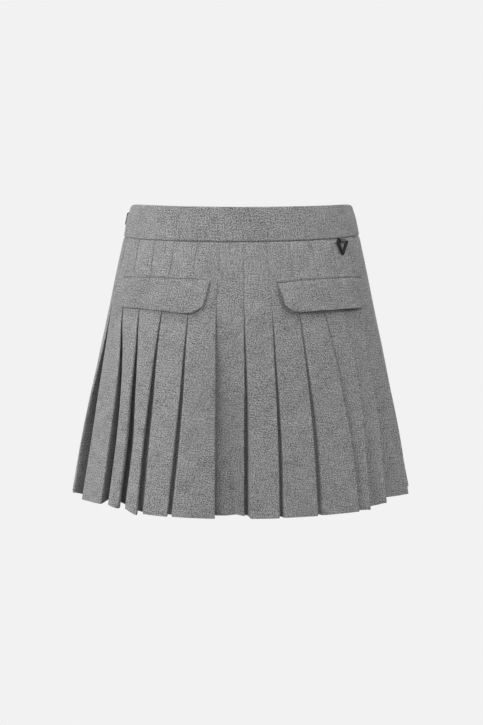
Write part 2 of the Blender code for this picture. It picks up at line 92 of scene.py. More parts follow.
# Each pleat's outer fold, millimetres. The first seven values move it round the body from its even
# place at the shift heights. out lifts it off the outline at the hem, opening is how deep it parts
# there and gap how wide. slit is the width of its closed groove, drop how far its face starts below
# its fold, belly how far the face swells, lip how far its edge curls up and roll how thick the fold
# is. The rises lift the hem at the face's edges.
PLEAT_COLUMNS = (
    "out", "opening", "gap", "slit", "drop", "belly", "lip", "roll", "rise_left", "rise_right"
)
PLEAT_TABLE = {
    -6: (0, -3, -8, -3, -1, 1, 5, 8, 16, 9.5, 0.6, 10, -0.8, 0, 1, 2, 5),
    -5: (0, 1.5, -6, 4.5, 10.5, 13.5, 16.5, 1, 17, 10, 0.7, 0.6, 0.8, 0, 0.9, -2, 2),
    -4: (-2, 0.5, -7, -3, -0.5, 3, 4, 1, 17, 7, 0.7, 2, 1.6, 0, 3, 4, 1.5),
    -3: (-2, -2, -6, -9, -10, -11, -10, 1, 13, 7.2, 0.7, 4, 1.2, 0, 2.5, 4, -2.5),
    -2: (0, -1.5, -3.5, -5, -6, -8, -12, 0, 8, 6.5, 0.7, 1.4, 0.8, 0.3, 1, -0.5, -1),
    -1: (-0.5, -1, -1.5, 0, 1.5, 3, 5, -2, 15.5, 0, 0.6, -5.5, -0.3, 0.2, 1, 0, -1),
    0: (-0.5, -1, -0.5, 0, 0, -0.5, -0.5, -9.5, 9, 7, 0.5, -6.5, -1.6, 0.4, 1, 0.2, 0.2),
    1: (-2, 0, 1, 1, 1.5, 1.5, 0, 1, 8, 5, 0.4, 1.1, 0.6, 0.4, 1, -0.5, 0),
    2: (-2, -1, 2, 4.5, 6.5, 7.5, 6, 1.2, 7, 6, 0.6, 1.9, 0.8, 0.5, 1, 0, 0),
    3: (-1, 0, 3, 10.5, 14.5, 19, 20, 1.6, 3.8, 0, 0.3, 2.6, 0.5, 1.2, 1, 0, -0.5),
    4: (0, 0, 0, 3.5, 4, 0, -5.5, 2.6, 3, 0, 0.2, 2.6, 0.4, 1.8, 1, 0, -0.5),
    5: (0, 0, -1, -4, -7.5, -12, -21, 5, 11, 0, 0.2, 3.2, 0.3, 1.6, 1, 1, 3.5),
    6: (0, 0, 0, -3, -6, -10, -18, 8, 4, 0, 0.15, 3.5, -0.8, 0.6, 1, 6, 5),
    7: (0, 0, 0, -1, -2, -3.5, -6, -3, 5, 0, 0.3, 1.1, 0.4, 0.4, 1, 5, 3),
    8: (0, 0, 0, 1, 2, 2.5, 3, 0, 5.5, 4, 0.4, 1.1, 0.9, 0.3, 1.2, 3, -1),
    9: (0, 0.5, 1, -0.5, -2, -3, -4, 0, 7, 6, 0.4, 1.1, 0.7, 0.5, 1.6, 0, 1.5),
    10: (0, 0, 0, 1.5, 3, 4, 5, 0, 4, 0, 0.3, 1.1, 0.4, 0.6, 1, 1, 0),
    11: (0, -0.5, -1, -2, -3, -4, -6, 1, 8, 7, 0.4, 1.1, 1, 0.4, 2, 0, -1.5),
    12: (0, 0, 0, 0.5, 1, 1.5, 2, 0, 3.5, 0, 0.25, 1.1, 0.5, 0.5, 1, -1, 0),
    13: (0, 0.5, 1, 2.5, 4, 5, 6, 0, 5.5, 3.5, 0.4, 1.1, 0.6, 0.3, 1, 0, 1),
    14: (0, 0, 0, 0, 0, -0.5, -1, 0, 3.5, 0, 0.3, 1.1, 0.3, 0.5, 1, 1, -0.5),
    15: (0, 0, 0, -1, -2, -2.5, -3, 0, 5.5, 4, 0.4, 1.1, 0.5, 0.4, 1.2, 0, 1),
    16: (0, 0.5, 1, 1.5, 2, 3, 4, 0, 4, 0, 0.25, 1.1, 0.7, 0.2, 1, 0, -1),
    17: (0, 0, 0, -1.5, -3, -4.5, -7, 1, 7, 6, 0.4, 1.1, 1.1, 0.4, 1.8, -1, 1),
    18: (0, 0.5, 1, 2, 3, 4, 5, 0, 5.5, 3.5, 0.4, 1.1, 0.5, 0.6, 1, 1, 0),
    19: (0, 0, 0, -1, -2, -3, -4, 0, 9, 8, 0.5, 1.1, 0.9, 0.3, 1.6, 0, -1),
    20: (0, -0.5, -1, 0, 1, 2, 3, 0, 6, 5, 0.4, 1.1, 0.6, 0.5, 1.4, -1, 1),
    21: (0, -1, -2, -3, -4, -4.5, -5, -3, 7, 6, 0.4, 1.1, 0.5, 0.3, 1.2, 1, 2),
}

# Soft troughs (depth over 0) and ridges that run down the hanging cloth, millimetres: their arcs at
# the crease heights, half their width, their depth, and the heights between which they grow to it.
CREASE_HEIGHTS = (-0.172, -0.222, -0.272, -0.357)
CREASE_COLUMNS = ("width", "depth", "start", "full")
CREASE_TABLE = (
    (-24, -20, -15, -8, 8, 3.2, -122, -200),
    (-21, -18, -14, -8, 12, 5.5, -205, -320),
    (21, 23, 24, 22, 9, 0.8, -120, -230),
    (67, 69, 71, 76, 12, 1.1, -130, -260),
    (106, 110, 114, 120, 14, 1.3, -140, -270),
    (-64, -68, -72, -78, 10, 1, -150, -280),
    (-103, -109, -115, -124, 9, -0.9, -150, -280),
    (175, 184, 193, 205, 15, 1.6, -130, -260),
    (-180, -190, -199, -212, 14, 1.4, -130, -260),
    (242, 255, 267, 286, 15, -1, -120, -250),
    (309, 325, 340, 362, 13, 2, -150, -280),
    (370, 390, 405, 436, 14, 1.4, -110, -240),
    (-308, -322, -336, -360, 16, 1.8, -140, -270),
    (-252, -265, -278, -300, 12, -0.9, -120, -250),
)
DRAPE_WAVES = 9
DRAPE_SEED = 11
DRAPE_YOKE = 0.10 * MM
DRAPE_HEM = 0.45 * MM

# Cloth
CLOSED_HALF = 0.12 * MM
OPEN_HALF = 0.35 * MM
HEM_LAYER = 0.5 * MM
HEM_TURN = 40.0 * MM
HEM_LINE_DEPTH = 0.22 * MM
CLOSED_PITCH = 0.42 * MM
OPEN_PITCH = 1.5 * MM
SHOULDER_ROUND_CLOSED = 0.3 * MM
SHOULDER_ROUND_OPEN = 2.4 * MM
FLOOR_SHARE_CLOSED = 0.25
FLOOR_SHARE_OPEN = 0.6
FACE_EASE = 1.3
BELLY_POWER = 0.8
RISE_POWER = 4
LIP_REACH = 6.0 * MM
SEAM_ROLL = 2.2 * MM
SEAM_ROLL_REACH = 1.5 * MM
TURN_STEPS = 3
BEND_MOST_SHARE = 0.48
MITRE_LEAST = 0.4
FACE_POINTS = 9
RETURN_POINTS = 3
UNDER_POINTS = 2

# Rows of the pleated cloth, millimetres below the waist seam and above the hem's stitch line, and
# how many even rows lie between them
SEAM_ROWS = (-1.4, -0.5, 0.3, 1.0, 2.0, 3.6, 6.0)
HEM_LINE_ROWS = (2.4, 1.2, 0.5, -0.5, -1.2, -2.4)
HEM_LINE_REACH = 0.8 * MM
MIDDLE_ROWS = 44
MIDDLE_FROM_SEAM = 9.0 * MM
MIDDLE_FROM_LINE = 5.0 * MM
LOWER_ROWS = 6
LOWER_FROM_LINE = 6.0 * MM
LOWER_FROM_HEM = 3.0 * MM

# Places across a cloth's rounded edge, as shares of half its thickness
EDGE_STEPS = (0.0, 0.14, 0.5, 1.0)

# Waistband
BAND_WALL = 2.6 * MM
BAND_PROUD = 0.4 * MM
BAND_COLUMNS = 150
BAND_ROWS = 16
BAND_SEAM_GAP = 0.1 * MM
BAND_EDGE_LEAST = 0.55
BAND_RIPPLE = 0.22 * MM
# Size, waves round the body and phase for each metre of height
BAND_WAVES = ((1.0, 7.0, 60.0), (0.6, 17.0, -90.0))

# Pocket flaps
FLAP_TOP_HEIGHT = -74.0 * MM
FLAP_WIDTH = 131.0 * MM
FLAP_ARC_LEVEL = -95.0 * MM
FLAP_WALL = 1.9 * MM
FLAP_STRIP_WALL = 1.15 * MM
FLAP_CREASE_HALF = 0.5 * MM
FLAP_EDGE_ROUND = 0.55 * MM
FLAP_OFF = 0.12 * MM
FLAP_WALL_LEAST = 0.10 * MM
FLAP_WALL_SHARE = 0.6
FLAP_WALL_REACH = 4.0 * MM
FLAP_FOLD_EASE = (-0.2 * MM, 1.6 * MM)
FLAP_STRIP_EASE = 1.6 * FLAP_CREASE_HALF
FLAP_CREASE_EASE = (-0.3 * FLAP_CREASE_HALF, 1.7 * FLAP_CREASE_HALF)
FLAP_HOLLOW = 0.85
FLAP_WAVE = 0.3 * MM
FLAP_WAVE_REACH = 13.0 * MM
FLAP_WAVE_START = 1.2
FLAP_CORNERS = (10.0 * MM, 108.0 * MM)
FLAP_COLUMNS = (10, 46, 16)
FLAP_STRIP_SHARES = (0.0, 0.06, 0.14, 0.3, 0.55, 0.75)
FLAP_CREASE_ROWS = (-0.5, -0.25, 0.0, 0.25, 0.5, 0.9, 1.5, 2.4, 3.8)
FLAP_LOWER_ROWS = 15
FLAP_LOWER_START = 6.0 * MM
FLAP_STITCH_STATIONS = 90
FLAP_GRAIN_START = (0.3, 1.0)

# Triangular ring and its tape
RING_ARC = 129.5 * MM
RING_BAR_DROP = 3.4 * MM
RING_SIDE = 22.5 * MM
RING_BAR = 1.6 * MM
RING_ARM = 3.0 * MM
RING_THICKNESS = 2.2 * MM
RING_CORNER = 1.6 * MM
RING_TILT = math.radians(-6.0)
RING_LEAN = math.radians(3.8)
RING_OFF = 2.85 * MM
TAPE_WIDTH = 9.6 * MM
TAPE_SHIFT = -0.4 * MM
TAPE_HALF = 0.38 * MM
TAPE_COLUMNS = 10

# Zip
ZIP_HEIGHT = -6.5 * MM
ZIP_ANGLE = -0.5 * math.pi
ZIP_REACH = 0.1
HALF_SEAM_GAP = 0.15 * MM
PULL_THICKNESS = 1.0 * MM
PIVOT_OUT = 1.7 * MM
TAB_LEAN = math.radians(6.0)
# Outlines in the zip's frame, millimetres
CROWN_CORNERS = ((2.7, 2.5), (-2.7, 2.5), (-2.1, -2.5), (2.1, -2.5))
LUG_CORNERS = ((0.6, 1.2), (-0.6, 1.2), (-0.6, -1.2), (0.6, -1.2))
LUG_ASIDE = 2.1 * MM
TAB_CORNERS = (
    (1.0, 0.45), (-1.0, 0.45), (-1.0, -1.6), (-2.1, -4.5),
    (-1.7, -14.0), (1.7, -14.0), (2.1, -4.5), (1.0, -1.6),
)
CROWN_SPAN = (-1.2 * MM, -0.3 * MM)
LUG_SPAN = (-2.35 * MM, -1.0 * MM)
PIN_BEHIND_PIVOT = 0.3 * MM
PIN_RADIUS = 0.22 * MM
PIN_LENGTH = 3.4 * MM
CHAIN_PITCH = 1.25 * MM
CHAIN_TOP = -2.0 * MM
CHAIN_BOTTOM = -104.0 * MM
CHAIN_OUT = -3.15 * MM
TOOTH = (1.0 * MM, 0.45 * MM, 0.42 * MM)
TOOTH_ASIDE = 0.45 * MM
ZIP_TAPE_WIDTH = 20.0 * MM
ZIP_TAPE_OUT = -2.5 * MM
ZIP_TAPE_HALF = 0.2 * MM
ZIP_TAPE_COLUMNS = 14
ZIP_TAPE_ROWS = 44
ZIP_TAPE_TOP = CHAIN_TOP + 2.0 * MM
ZIP_TAPE_BOTTOM = CHAIN_BOTTOM - 6.0 * MM

# Sewing
STITCH_LENGTH = 2.1 * MM
STITCH_PITCH = 2.9 * MM
STITCH_SIZE = (0.5 * STITCH_LENGTH, 0.13 * MM, 0.13 * MM)
EDGE_STITCH_INSET = 1.9 * MM
PLEAT_STITCH_OUT = 0.02 * MM
PLEAT_STITCH_INSET = 2.0 * MM
PLEAT_STITCH_STATIONS = 30
FLAP_STITCH_OUT = 0.24 * MM
FLAP_STITCH_INSET = 1.5 * MM

# The photograph's frame and the camera that took it
FRAME_HEIGHT = 725.0
FOCAL_PIXELS = 1840.0
CAMERA_DISTANCE = 2.3
CAMERA_ELEVATION = math.radians(8.0)
CAMERA_AIM = -0.192
SENSOR = 36.0
BACKDROP = 0.8879
FLOOR_BELOW_HEM = 0.55
FLOOR_HALF = 6.0

# Soft lights: azimuth from the camera's side towards +X and elevation, degrees, side and power
LIGHT_AIM = Vector((0.0, 0.0, -0.17))
LIGHT_DISTANCE = 2.6
LIGHTS = (
    ("left", -92, 18, 1.3, 46),
    ("key", -45, 20, 1.3, 38),
    ("low_left", -40, -25, 1.3, 29),
    ("front", 5, 5, 1.3, 14),
    ("top", 0, 70, 1.3, 21.5),
    ("right_front", 47, 30, 1.3, 31),
    ("right", 90, 33, 1.3, 21),
    ("back", 180, 25, 1.8, 110),
)


class Half(Enum):
    """Which half of the garment a panel covers."""

    FLAP_SIDE = "front"
    FAR_SIDE = "back"


class Hand(Enum):
    """The viewer's left or right."""

    LEFT = -1
    RIGHT = 1


@dataclass(frozen=True)
class Finish:
    """What a surface is made of.

    Attributes:
        name: the material's name.
        colour: base colour, linear.
        roughness: roughness of the surface.
        metallic: 1 for metal.
        sheen: weight of the nap's sheen.
        specular: specular level.
    """

    name: str
    colour: tuple[float, float, float]
    roughness: float
    metallic: float = 0.0
    sheen: float = 0.0
    specular: float = 0.5


WOOL = Finish("wool_flannel", (0.205, 0.205, 0.207), 0.92, sheen=0.12, specular=0.18)
# The flaps' wool: the body's wool about a tenth darker, painted shade on the flaps.
SHADED_FLAP_WOOL = Finish("wool_flannel_flap_shaded", (0.186, 0.186, 0.188), 0.92, sheen=0.12, specular=0.18)
TAPE = Finish("black_tape", (0.045, 0.045, 0.046), 0.7, sheen=0.1, specular=0.2)
METAL = Finish("black_metal", (0.010, 0.010, 0.011), 0.3, metallic=0.4, specular=0.2)
THREAD = Finish("grey_thread", (0.12, 0.12, 0.122), 0.6, sheen=0.2, specular=0.3)

# The wool's melange, in cloth millimetres: stretch along weft and warp, scale and weight
WOOL_NOISES = {
    "fibre": ((1.0, 1.0), 0.85, 2.5),
    "fleck": ((1.0, -1.0), 1.9, 2.1),
    "weft": ((0.06, 1.2), 1.0, 0.7),
    "warp": ((1.2, 0.06), 1.0, 0.7),
    "cloud": ((1.0, 1.0), 0.035, 0.2),
}
# Its darkest and lightest fibres, as shares of its colour
WOOL_SHADES = (0.2, 1.85)


class Graph:
    """The node tree of one material, with short ways to add nodes."""

    def __init__(self, look: Finish) -> None:
        """Starts the material of a finish.

        Args:
            look: the finish, whose constants go on the shader's own sockets.
        """
        self.material = bpy.data.materials.new(look.name)
        self.material.use_nodes = True
        self.tree = self.material.node_tree
        self.shader = self.tree.nodes["Principled BSDF"]
        self.shader.inputs["Base Color"].default_value = (*look.colour, 1.0)
        self.shader.inputs["Roughness"].default_value = look.roughness
        self.shader.inputs["Metallic"].default_value = look.metallic
        self.shader.inputs["Sheen Weight"].default_value = look.sheen
        self.shader.inputs["Sheen Roughness"].default_value = 0.5
        self.shader.inputs["Specular IOR Level"].default_value = look.specular

    def node(self, kind: str, settings: dict | None = None, **inputs):
        """Adds a node.

        Args:
            kind: the node's type name.
            settings: its properties.
            **inputs: a value or an output socket for each input, in0 for the first and so on.

        Returns:
            The node.
        """
        made = self.tree.nodes.new(kind)
        for name, value in (settings or {}).items():
            setattr(made, name, value)
        for name, value in inputs.items():
            socket = made.inputs[int(name[2:])]
            if isinstance(value, bpy.types.NodeSocket):
                self.tree.links.new(value, socket)
            else:
                socket.default_value = value
        return made

    def math(self, operation: str, first, second=0.0):
        """Adds a math node."""
        settings = {"operation": operation}
        return self.node("ShaderNodeMath", settings, in0=first, in1=second).outputs[0]

    def stretched(self, vector, scale: tuple[float, float, float]):
        """A vector multiplied axis by axis."""
        settings = {"operation": "MULTIPLY"}
        return self.node("ShaderNodeVectorMath", settings, in0=vector, in1=scale).outputs[0]

    def noise(self, vector, scale: float, detail: float = 1.0, dimensions: str = "2D"):
        """Adds a noise texture.

        Args:
            vector: where it is read.
            scale: how many features there are to a unit.
            detail: its octaves.
            dimensions: 2D for cloth coordinates, 3D for object coordinates.

        Returns:
            Its value, about 0.5 on average.
        """
        made = self.node("ShaderNodeTexNoise", {"noise_dimensions": dimensions}, in0=vector)
        made.inputs["Scale"].default_value = scale
        made.inputs["Detail"].default_value = detail
        return made.outputs[0]

    def mixed(self, parts: Sequence[tuple[object, float]]):
        """A weighted sum of noises about their middle.

        Args:
            parts: (socket, weight) pairs.

        Returns:
            The socket of the sum, 0 on average.
        """
        total = 0.0
        for value, weight in parts:
            shifted = self.math("SUBTRACT", value, 0.5)
            scaled = self.math("MULTIPLY", shifted, weight)
            total = self.math("ADD", scaled, total)
        return total

    def bands(self, vector, direction: str, scale: float):
        """Adds a texture of even bands.

        Args:
            vector: where it is read.
            direction: X or DIAGONAL.
            scale: how close together they are.

        Returns:
            The node.
        """
        settings = {"wave_type": "BANDS", "bands_direction": direction}
        made = self.node("ShaderNodeTexWave", settings, in0=vector)
        made.inputs["Scale"].default_value = scale
        return made

    def tinted(self, factor, dark: Sequence[float], light: Sequence[float]) -> None:
        """Gives the shader a colour between two.

        Args:
            factor: 0 for dark and 1 for light.
            dark: the dark colour.
            light: the light colour.
        """
        ramp = self.node("ShaderNodeValToRGB", None, in0=factor)
        ramp.color_ramp.elements[0].color = (*dark, 1.0)
        ramp.color_ramp.elements[1].color = (*light, 1.0)
        self.tree.links.new(ramp.outputs[0], self.shader.inputs["Base Color"])

    def bumped(self, height, strength: float, distance: float) -> None:
        """Gives the shader a bump.

        Args:
            height: the height's socket.
            strength: how strong it is.
            distance: how high it is, metres.
        """
        bump = self.node("ShaderNodeBump")
        bump.inputs["Strength"].default_value = strength
        bump.inputs["Distance"].default_value = distance
        self.tree.links.new(height, bump.inputs["Height"])
        self.tree.links.new(bump.outputs[0], self.shader.inputs["Normal"])


class Finishes:
    """The part's materials, each made once when it is first asked for."""

    made: dict[str, bpy.types.Material] = {}

    @classmethod
    def of(cls, look: Finish) -> bpy.types.Material:
        """The material of a finish.

        Args:
            look: the finish.

        Returns:
            Its material.
        """
        makers = {TAPE.name: cls.tape, METAL.name: cls.metal, THREAD.name: cls.thread}
        if look.name not in cls.made:
            maker = makers.get(look.name)
            cls.made[look.name] = maker() if maker else cls.wool(look)
            log.info("material %s", look.name)
        return cls.made[look.name]

    @staticmethod
    def grain(graph: Graph):
        """Cloth coordinates in millimetres, along the weft and up the warp."""
        uv = graph.node("ShaderNodeUVMap", {"uv_map": "grain"}).outputs[0]
        return graph.stretched(uv, (1000.0, 1000.0, 1.0))

    @classmethod
    def wool(cls, look: Finish) -> bpy.types.Material:
        """Melange flannel: light and dark fibres in a faint twill, brushed to a nap.

        Args:
            look: the finish.

        Returns:
            The material.
        """
        graph = Graph(look)
        place = cls.grain(graph)
        tone = graph.mixed([
            (graph.noise(graph.stretched(place, (*stretch, 1.0)), scale), weight)
            for stretch, scale, weight in WOOL_NOISES.values()
        ])
        shades = [tuple(share * value for value in look.colour) for share in WOOL_SHADES]
        graph.tinted(graph.math("ADD", tone, 0.5), *shades)
        twill = graph.bands(place, "DIAGONAL", 0.19)
        twill.inputs["Distortion"].default_value = 1.2
        twill.inputs["Detail"].default_value = 1.0
        height = graph.math("ADD", graph.math("MULTIPLY", twill.outputs[1], 0.25), tone)
        graph.bumped(height, 0.35, 0.25 * MM)
        return graph.material

    @classmethod
    def tape(cls) -> bpy.types.Material:
        """Black woven tape with fine ribs across it, near black along both edges as painted shade.

        Returns:
            The material.
        """
        graph = Graph(TAPE)
        place = cls.grain(graph)
        rib = graph.bands(place, "X", 0.42)
        fibre = graph.noise(place, 3.0, 2.0)
        across = graph.node("ShaderNodeSeparateXYZ", None, in0=place).outputs[1]
        off_middle = graph.math("ABSOLUTE", graph.math("SUBTRACT", across, 500.0 * TAPE_WIDTH))
        # Outside the middle 72 % of its width the tape goes near black: painted shade along both
        # edges.
        inside = graph.math("LESS_THAN", off_middle, 360.0 * TAPE_WIDTH)
        tone = graph.math("ADD", graph.mixed(((fibre, 0.8),)), 0.7)
        graph.tinted(graph.math("MULTIPLY", tone, inside), (0.006,) * 3, (0.085,) * 3)
        graph.bumped(graph.math("ADD", rib.outputs[1], fibre), 0.6, 0.12 * MM)
        return graph.material

    @classmethod
    def metal(cls) -> bpy.types.Material:
        """Satin black plated metal, a little uneven and brighter where it is rubbed.

        Returns:
            The material.
        """
        graph = Graph(METAL)
        place = graph.node("ShaderNodeTexCoord").outputs["Object"]
        haze = graph.noise(place, 900.0, 2.0, "3D")
        rub = graph.noise(place, 160.0, 2.0, "3D")
        graph.tinted(rub, (0.005, 0.005, 0.0055), (0.02, 0.02, 0.0215))
        rough = graph.math("ADD", graph.math("MULTIPLY", haze, 0.22), METAL.roughness - 0.11)
        graph.tree.links.new(rough, graph.shader.inputs["Roughness"])
        graph.bumped(haze, 0.08, 0.05 * MM)
        return graph.material

    @classmethod
    def thread(cls) -> bpy.types.Material:
        """Grey sewing thread with a twist.

        Returns:
            The material.
        """
        graph = Graph(THREAD)
        place = graph.node("ShaderNodeTexCoord").outputs["Object"]
        fibre = graph.noise(place, 2600.0, 1.0, "3D")
        graph.tinted(fibre, (0.07, 0.07, 0.071), (0.2, 0.2, 0.203))
        graph.bumped(fibre, 0.4, 0.05 * MM)
        return graph.material


class Oval:
    """The oval outline of the cloth's outer face at one height."""

    STEPS = 1440

    def __init__(self, height: float) -> None:
        """Measures the outline.

        Args:
            height: its height.
        """
        heights, widths, depths = zip(*SECTIONS[::-1])
        self.half_width = float(np.interp(height, heights, widths))
        self.half_depth = float(np.interp(height, heights, depths))
        self.angles = np.linspace(-2.0 * math.pi, 2.0 * math.pi, 2 * self.STEPS + 1)
        along, aside = self.half_width * np.cos(self.angles), self.half_depth * np.sin(self.angles)
        speed = np.hypot(along, aside)
        steps = 0.5 * (speed[1:] + speed[:-1]) * np.diff(self.angles)
        arcs = np.concatenate(([0.0], np.cumsum(steps)))
        self.arcs = arcs - arcs[self.STEPS]
        self.girth = float(self.arcs[-1])

    def angle(self, arc):
        """The angle round the body at an arc."""
        return np.interp(arc, self.arcs, self.angles)

    def place(self, angle, out) -> np.ndarray:
        """Points off the outline.

        Args:
            angle: one angle or an array.
            out: distances off the outline.

        Returns:
            The points' x and y, in the last axis.
        """
        sine, cosine = np.sin(angle), np.cos(angle)
        normal = np.stack((self.half_depth * sine, -self.half_width * cosine), -1)
        normal /= np.linalg.norm(normal, axis=-1, keepdims=True)
        outline = np.stack((self.half_width * sine, -self.half_depth * cosine), -1)
        return outline + normal * np.asarray(out)[..., None]


@lru_cache(maxsize=None)
def oval(height: float) -> Oval:
    """The outline at a height, kept for the next call."""
    return Oval(height)


def waist_top(angle):
    """Height of the waistband's upper edge."""
    return WAIST_RISE * np.tanh(WAIST_CORNER * np.cos(angle)) / math.tanh(WAIST_CORNER)


def seam_dip(angle):
    """How far the waist seam drops towards the far side."""
    return SEAM_BACK_DROP * (0.5 - 0.5 * np.cos(angle)) ** SEAM_DIP_POWER


def seam_rise(angle):
    """How far the waist seam rises at the +X side."""
    return SEAM_SIDE_RISE * np.maximum(0.0, np.sin(angle)) ** 2


def seam_height(angle):
    """Height of the waist seam."""
    return SEAM_HEIGHT - seam_dip(angle) + seam_rise(angle)


def hung_height(level: float, angle):
    """Real height of a level line of the pleated body.

    Args:
        level: the level, between the waist seam and the hem.
        angle: one angle or an array.

    Returns:
        The height or heights.
    """
    share = (SEAM_HEIGHT - level) / (SEAM_HEIGHT - HEM_HEIGHT)
    near_seam = min(1.0, max(0.0, 1.0 - (SEAM_HEIGHT - level) / SEAM_RISE_REACH))
    lift = HEM_SIDE_LIFT * share * np.sin(angle) ** 4
    return level - seam_dip(angle) * (1.0 - share) + seam_rise(angle) * near_seam + lift


def smooth(value, start: float, end: float):
    """A soft step."""
    share = np.clip((value - start) / (end - start), 0.0, 1.0)
    return share * share * (3.0 - 2.0 * share)


def opened(level: float) -> float:
    """How far the pleats have parted at a level."""
    share = (RELEASE_HEIGHT - level) / (RELEASE_HEIGHT - FULLY_OPEN_HEIGHT)
    return math.sin(0.5 * math.pi * min(1.0, max(0.0, share)))


class Drape:
    """How the hanging cloth leaves its even outline: listed creases and a slow ripple."""

    def __init__(self) -> None:
        """Reads the table of creases and draws the ripple's waves."""
        count = len(CREASE_HEIGHTS)
        self.creases = []
        for row in CREASE_TABLE:
            values = [value * MM for value in row]
            self.creases.append((values[:count], dict(zip(CREASE_COLUMNS, values[count:]))))
        draw = np.random.default_rng(DRAPE_SEED)
        self.rounds = draw.integers(4, 17, DRAPE_WAVES)
        self.climbs = draw.uniform(-22.0, 22.0, DRAPE_WAVES)
        self.phases = draw.uniform(0.0, 2.0 * math.pi, DRAPE_WAVES)

    def out(self, arc: np.ndarray, level: float) -> np.ndarray:
        """How far the cloth stands off its outline.

        Args:
            arc: arcs of the points.
            level: their level.

        Returns:
            The distances.
        """
        girth = oval(level).girth
        total = np.zeros_like(arc)
        for arcs, crease in self.creases:
            centre = np.interp(level, CREASE_HEIGHTS[::-1], arcs[::-1])
            away = (arc - centre + 0.5 * girth) % girth - 0.5 * girth
            grown = 1.0 - smooth(level, crease["full"], crease["start"])
            total -= crease["depth"] * grown * np.exp(-((away / crease["width"]) ** 2))
        turn = 2.0 * math.pi * arc / girth
        ripple = sum(
            np.sin(rounds * turn + climb * level + phase)
            for rounds, climb, phase in zip(self.rounds, self.climbs, self.phases)
        )
        size = DRAPE_YOKE + (DRAPE_HEM - DRAPE_YOKE) * opened(level)
        roll = SEAM_ROLL * math.exp(-max(0.0, SEAM_HEIGHT - level) / SEAM_ROLL_REACH)
        return total + ripple * size / math.sqrt(DRAPE_WAVES) - roll


@dataclass(frozen=True)
class Pleat:
    """One knife pleat, in metres: its shifts, and the other columns of the pleat table."""

    shifts: tuple[float, ...]
    out: float
    opening: float
    gap: float
    slit: float
    drop: float
    belly: float
    lip: float
    roll: float
    rise_left: float
    rise_right: float

    @classmethod
    def numbered(cls, number: int) -> "Pleat":
        """A pleat of the table.

        Args:
            number: its number, any whole turns away.

        Returns:
            The pleat.
        """
        listed = (number - FIRST_FRONT_PLEAT) % PLEATS + FIRST_FRONT_PLEAT
        values = tuple(value * MM for value in PLEAT_TABLE[listed])
        count = len(SHIFT_HEIGHTS)
        return cls(values[:count], **dict(zip(PLEAT_COLUMNS, values[count:])))


@lru_cache(maxsize=None)
def shifts_at(level: float) -> np.ndarray:
    """How far the table moves each pleat's fold at a level, eased between the shift heights.

    Args:
        level: the level.

    Returns:
        The shifts, from the first front pleat on.
    """
    table = np.array([Pleat.numbered(FIRST_FRONT_PLEAT + index).shifts for index in range(PLEATS)])
    spans = -np.diff(SHIFT_HEIGHTS)
    slopes = np.diff(table, axis=1) / spans
    middles = 0.5 * (slopes[:, 1:] + slopes[:, :-1])
    tangents = np.column_stack((slopes[:, 0], middles, slopes[:, -1]))
    down = min(max(SHIFT_HEIGHTS[0] - level, 0.0), SHIFT_HEIGHTS[0] - SHIFT_HEIGHTS[-1])
    index = min(int(np.searchsorted(np.cumsum(spans), down)), len(spans) - 1)
    share = (down - (SHIFT_HEIGHTS[0] - SHIFT_HEIGHTS[index])) / spans[index]
    ease = share * share * (3.0 - 2.0 * share)
    leave = share * (1.0 - share) ** 2 * spans[index]
    arrive = -share * share * (1.0 - share) * spans[index]
    straight = table[:, index] + (table[:, index + 1] - table[:, index]) * ease
    return straight + leave * tangents[:, index] + arrive * tangents[:, index + 1]


def fold_arc(number: int, level: float) -> float:
    """Arc of a pleat's outer fold."""
    even = (number + PLEAT_OFFSET) * oval(level).girth / PLEATS
    return even + float(shifts_at(level)[(number - FIRST_FRONT_PLEAT) % PLEATS])


def tuck_arc(number: int, level: float) -> float:
    """Arc of the inner fold under a pleat's outer fold.

    Args:
        number: the pleat.
        level: the level.

    Returns:
        The arc.
    """
    pleat_cloth = oval(SEAM_HEIGHT).girth / PLEATS + 2.0 * TUCK
    fold = fold_arc(number, level)
    spacing = fold - fold_arc(number - 1, level)
    tuck = min(TUCK, 0.5 * (pleat_cloth - spacing), TUCK_MOST_SHARE * spacing)
    return fold - max(tuck, TUCK_LEAST)


def bent(corners: Sequence[Sequence[float]]) -> np.ndarray:
    """A line whose corners are turned as soft bends.

    Args:
        corners: the place and reach of each corner. One with no reach stays as it is.

    Returns:
        Its points, TURN_STEPS + 1 for each bend and one for each other corner.
    """
    points = [Vector(corners[0][:-1])]
    for before, here, after in zip(corners, corners[1:], corners[2:]):
        corner = Vector(here[:-1])
        if not here[-1]:
            points.append(corner)
            continue
        back = Vector(before[:-1]) - corner
        ahead = Vector(after[:-1]) - corner
        start, end = (
            corner + way.normalized() * min(here[-1], BEND_MOST_SHARE * way.length)
            for way in (back, ahead)
        )
        for step in range(TURN_STEPS + 1):
            share = step / TURN_STEPS
            points.append(start.lerp(corner, share).lerp(corner.lerp(end, share), share))
    points.append(Vector(corners[-1][:-1]))
    return np.array(points)


def beside(line: np.ndarray, distance: float) -> np.ndarray:
    """A line moved sideways.

    Args:
        line: its points.
        distance: how far, positive to its left.

    Returns:
        The moved points.
    """
    ways = np.diff(line, axis=0)
    ways /= np.linalg.norm(ways, axis=1, keepdims=True)
    sides = np.stack((-ways[:, 1], ways[:, 0]), 1)
    before = np.vstack((sides[:1], sides))
    after = np.vstack((sides, sides[-1:]))
    reach = distance / np.maximum(MITRE_LEAST, 1.0 + (before * after).sum(1))
    return line + (before + after) * reach[:, None]


def travelled(points: np.ndarray) -> np.ndarray:
    """Distances along a line."""
    return np.concatenate(([0.0], np.cumsum(np.linalg.norm(np.diff(points, axis=0), axis=1))))


def across_places(length: float, half: float, count: int) -> np.ndarray:
    """Places across a cloth, close together where its two edges round off.

    Args:
        length: how far it is across.
        half: how far in an edge's rounding goes.
        count: how many places there are from one rounding to the other.

    Returns:
        The places, from 0 to the length.
    """
    ends = half * np.array(EDGE_STEPS)
    middle = np.linspace(half, length - half, count)
    return np.concatenate((ends[:-1], middle, length - ends[-2::-1]))


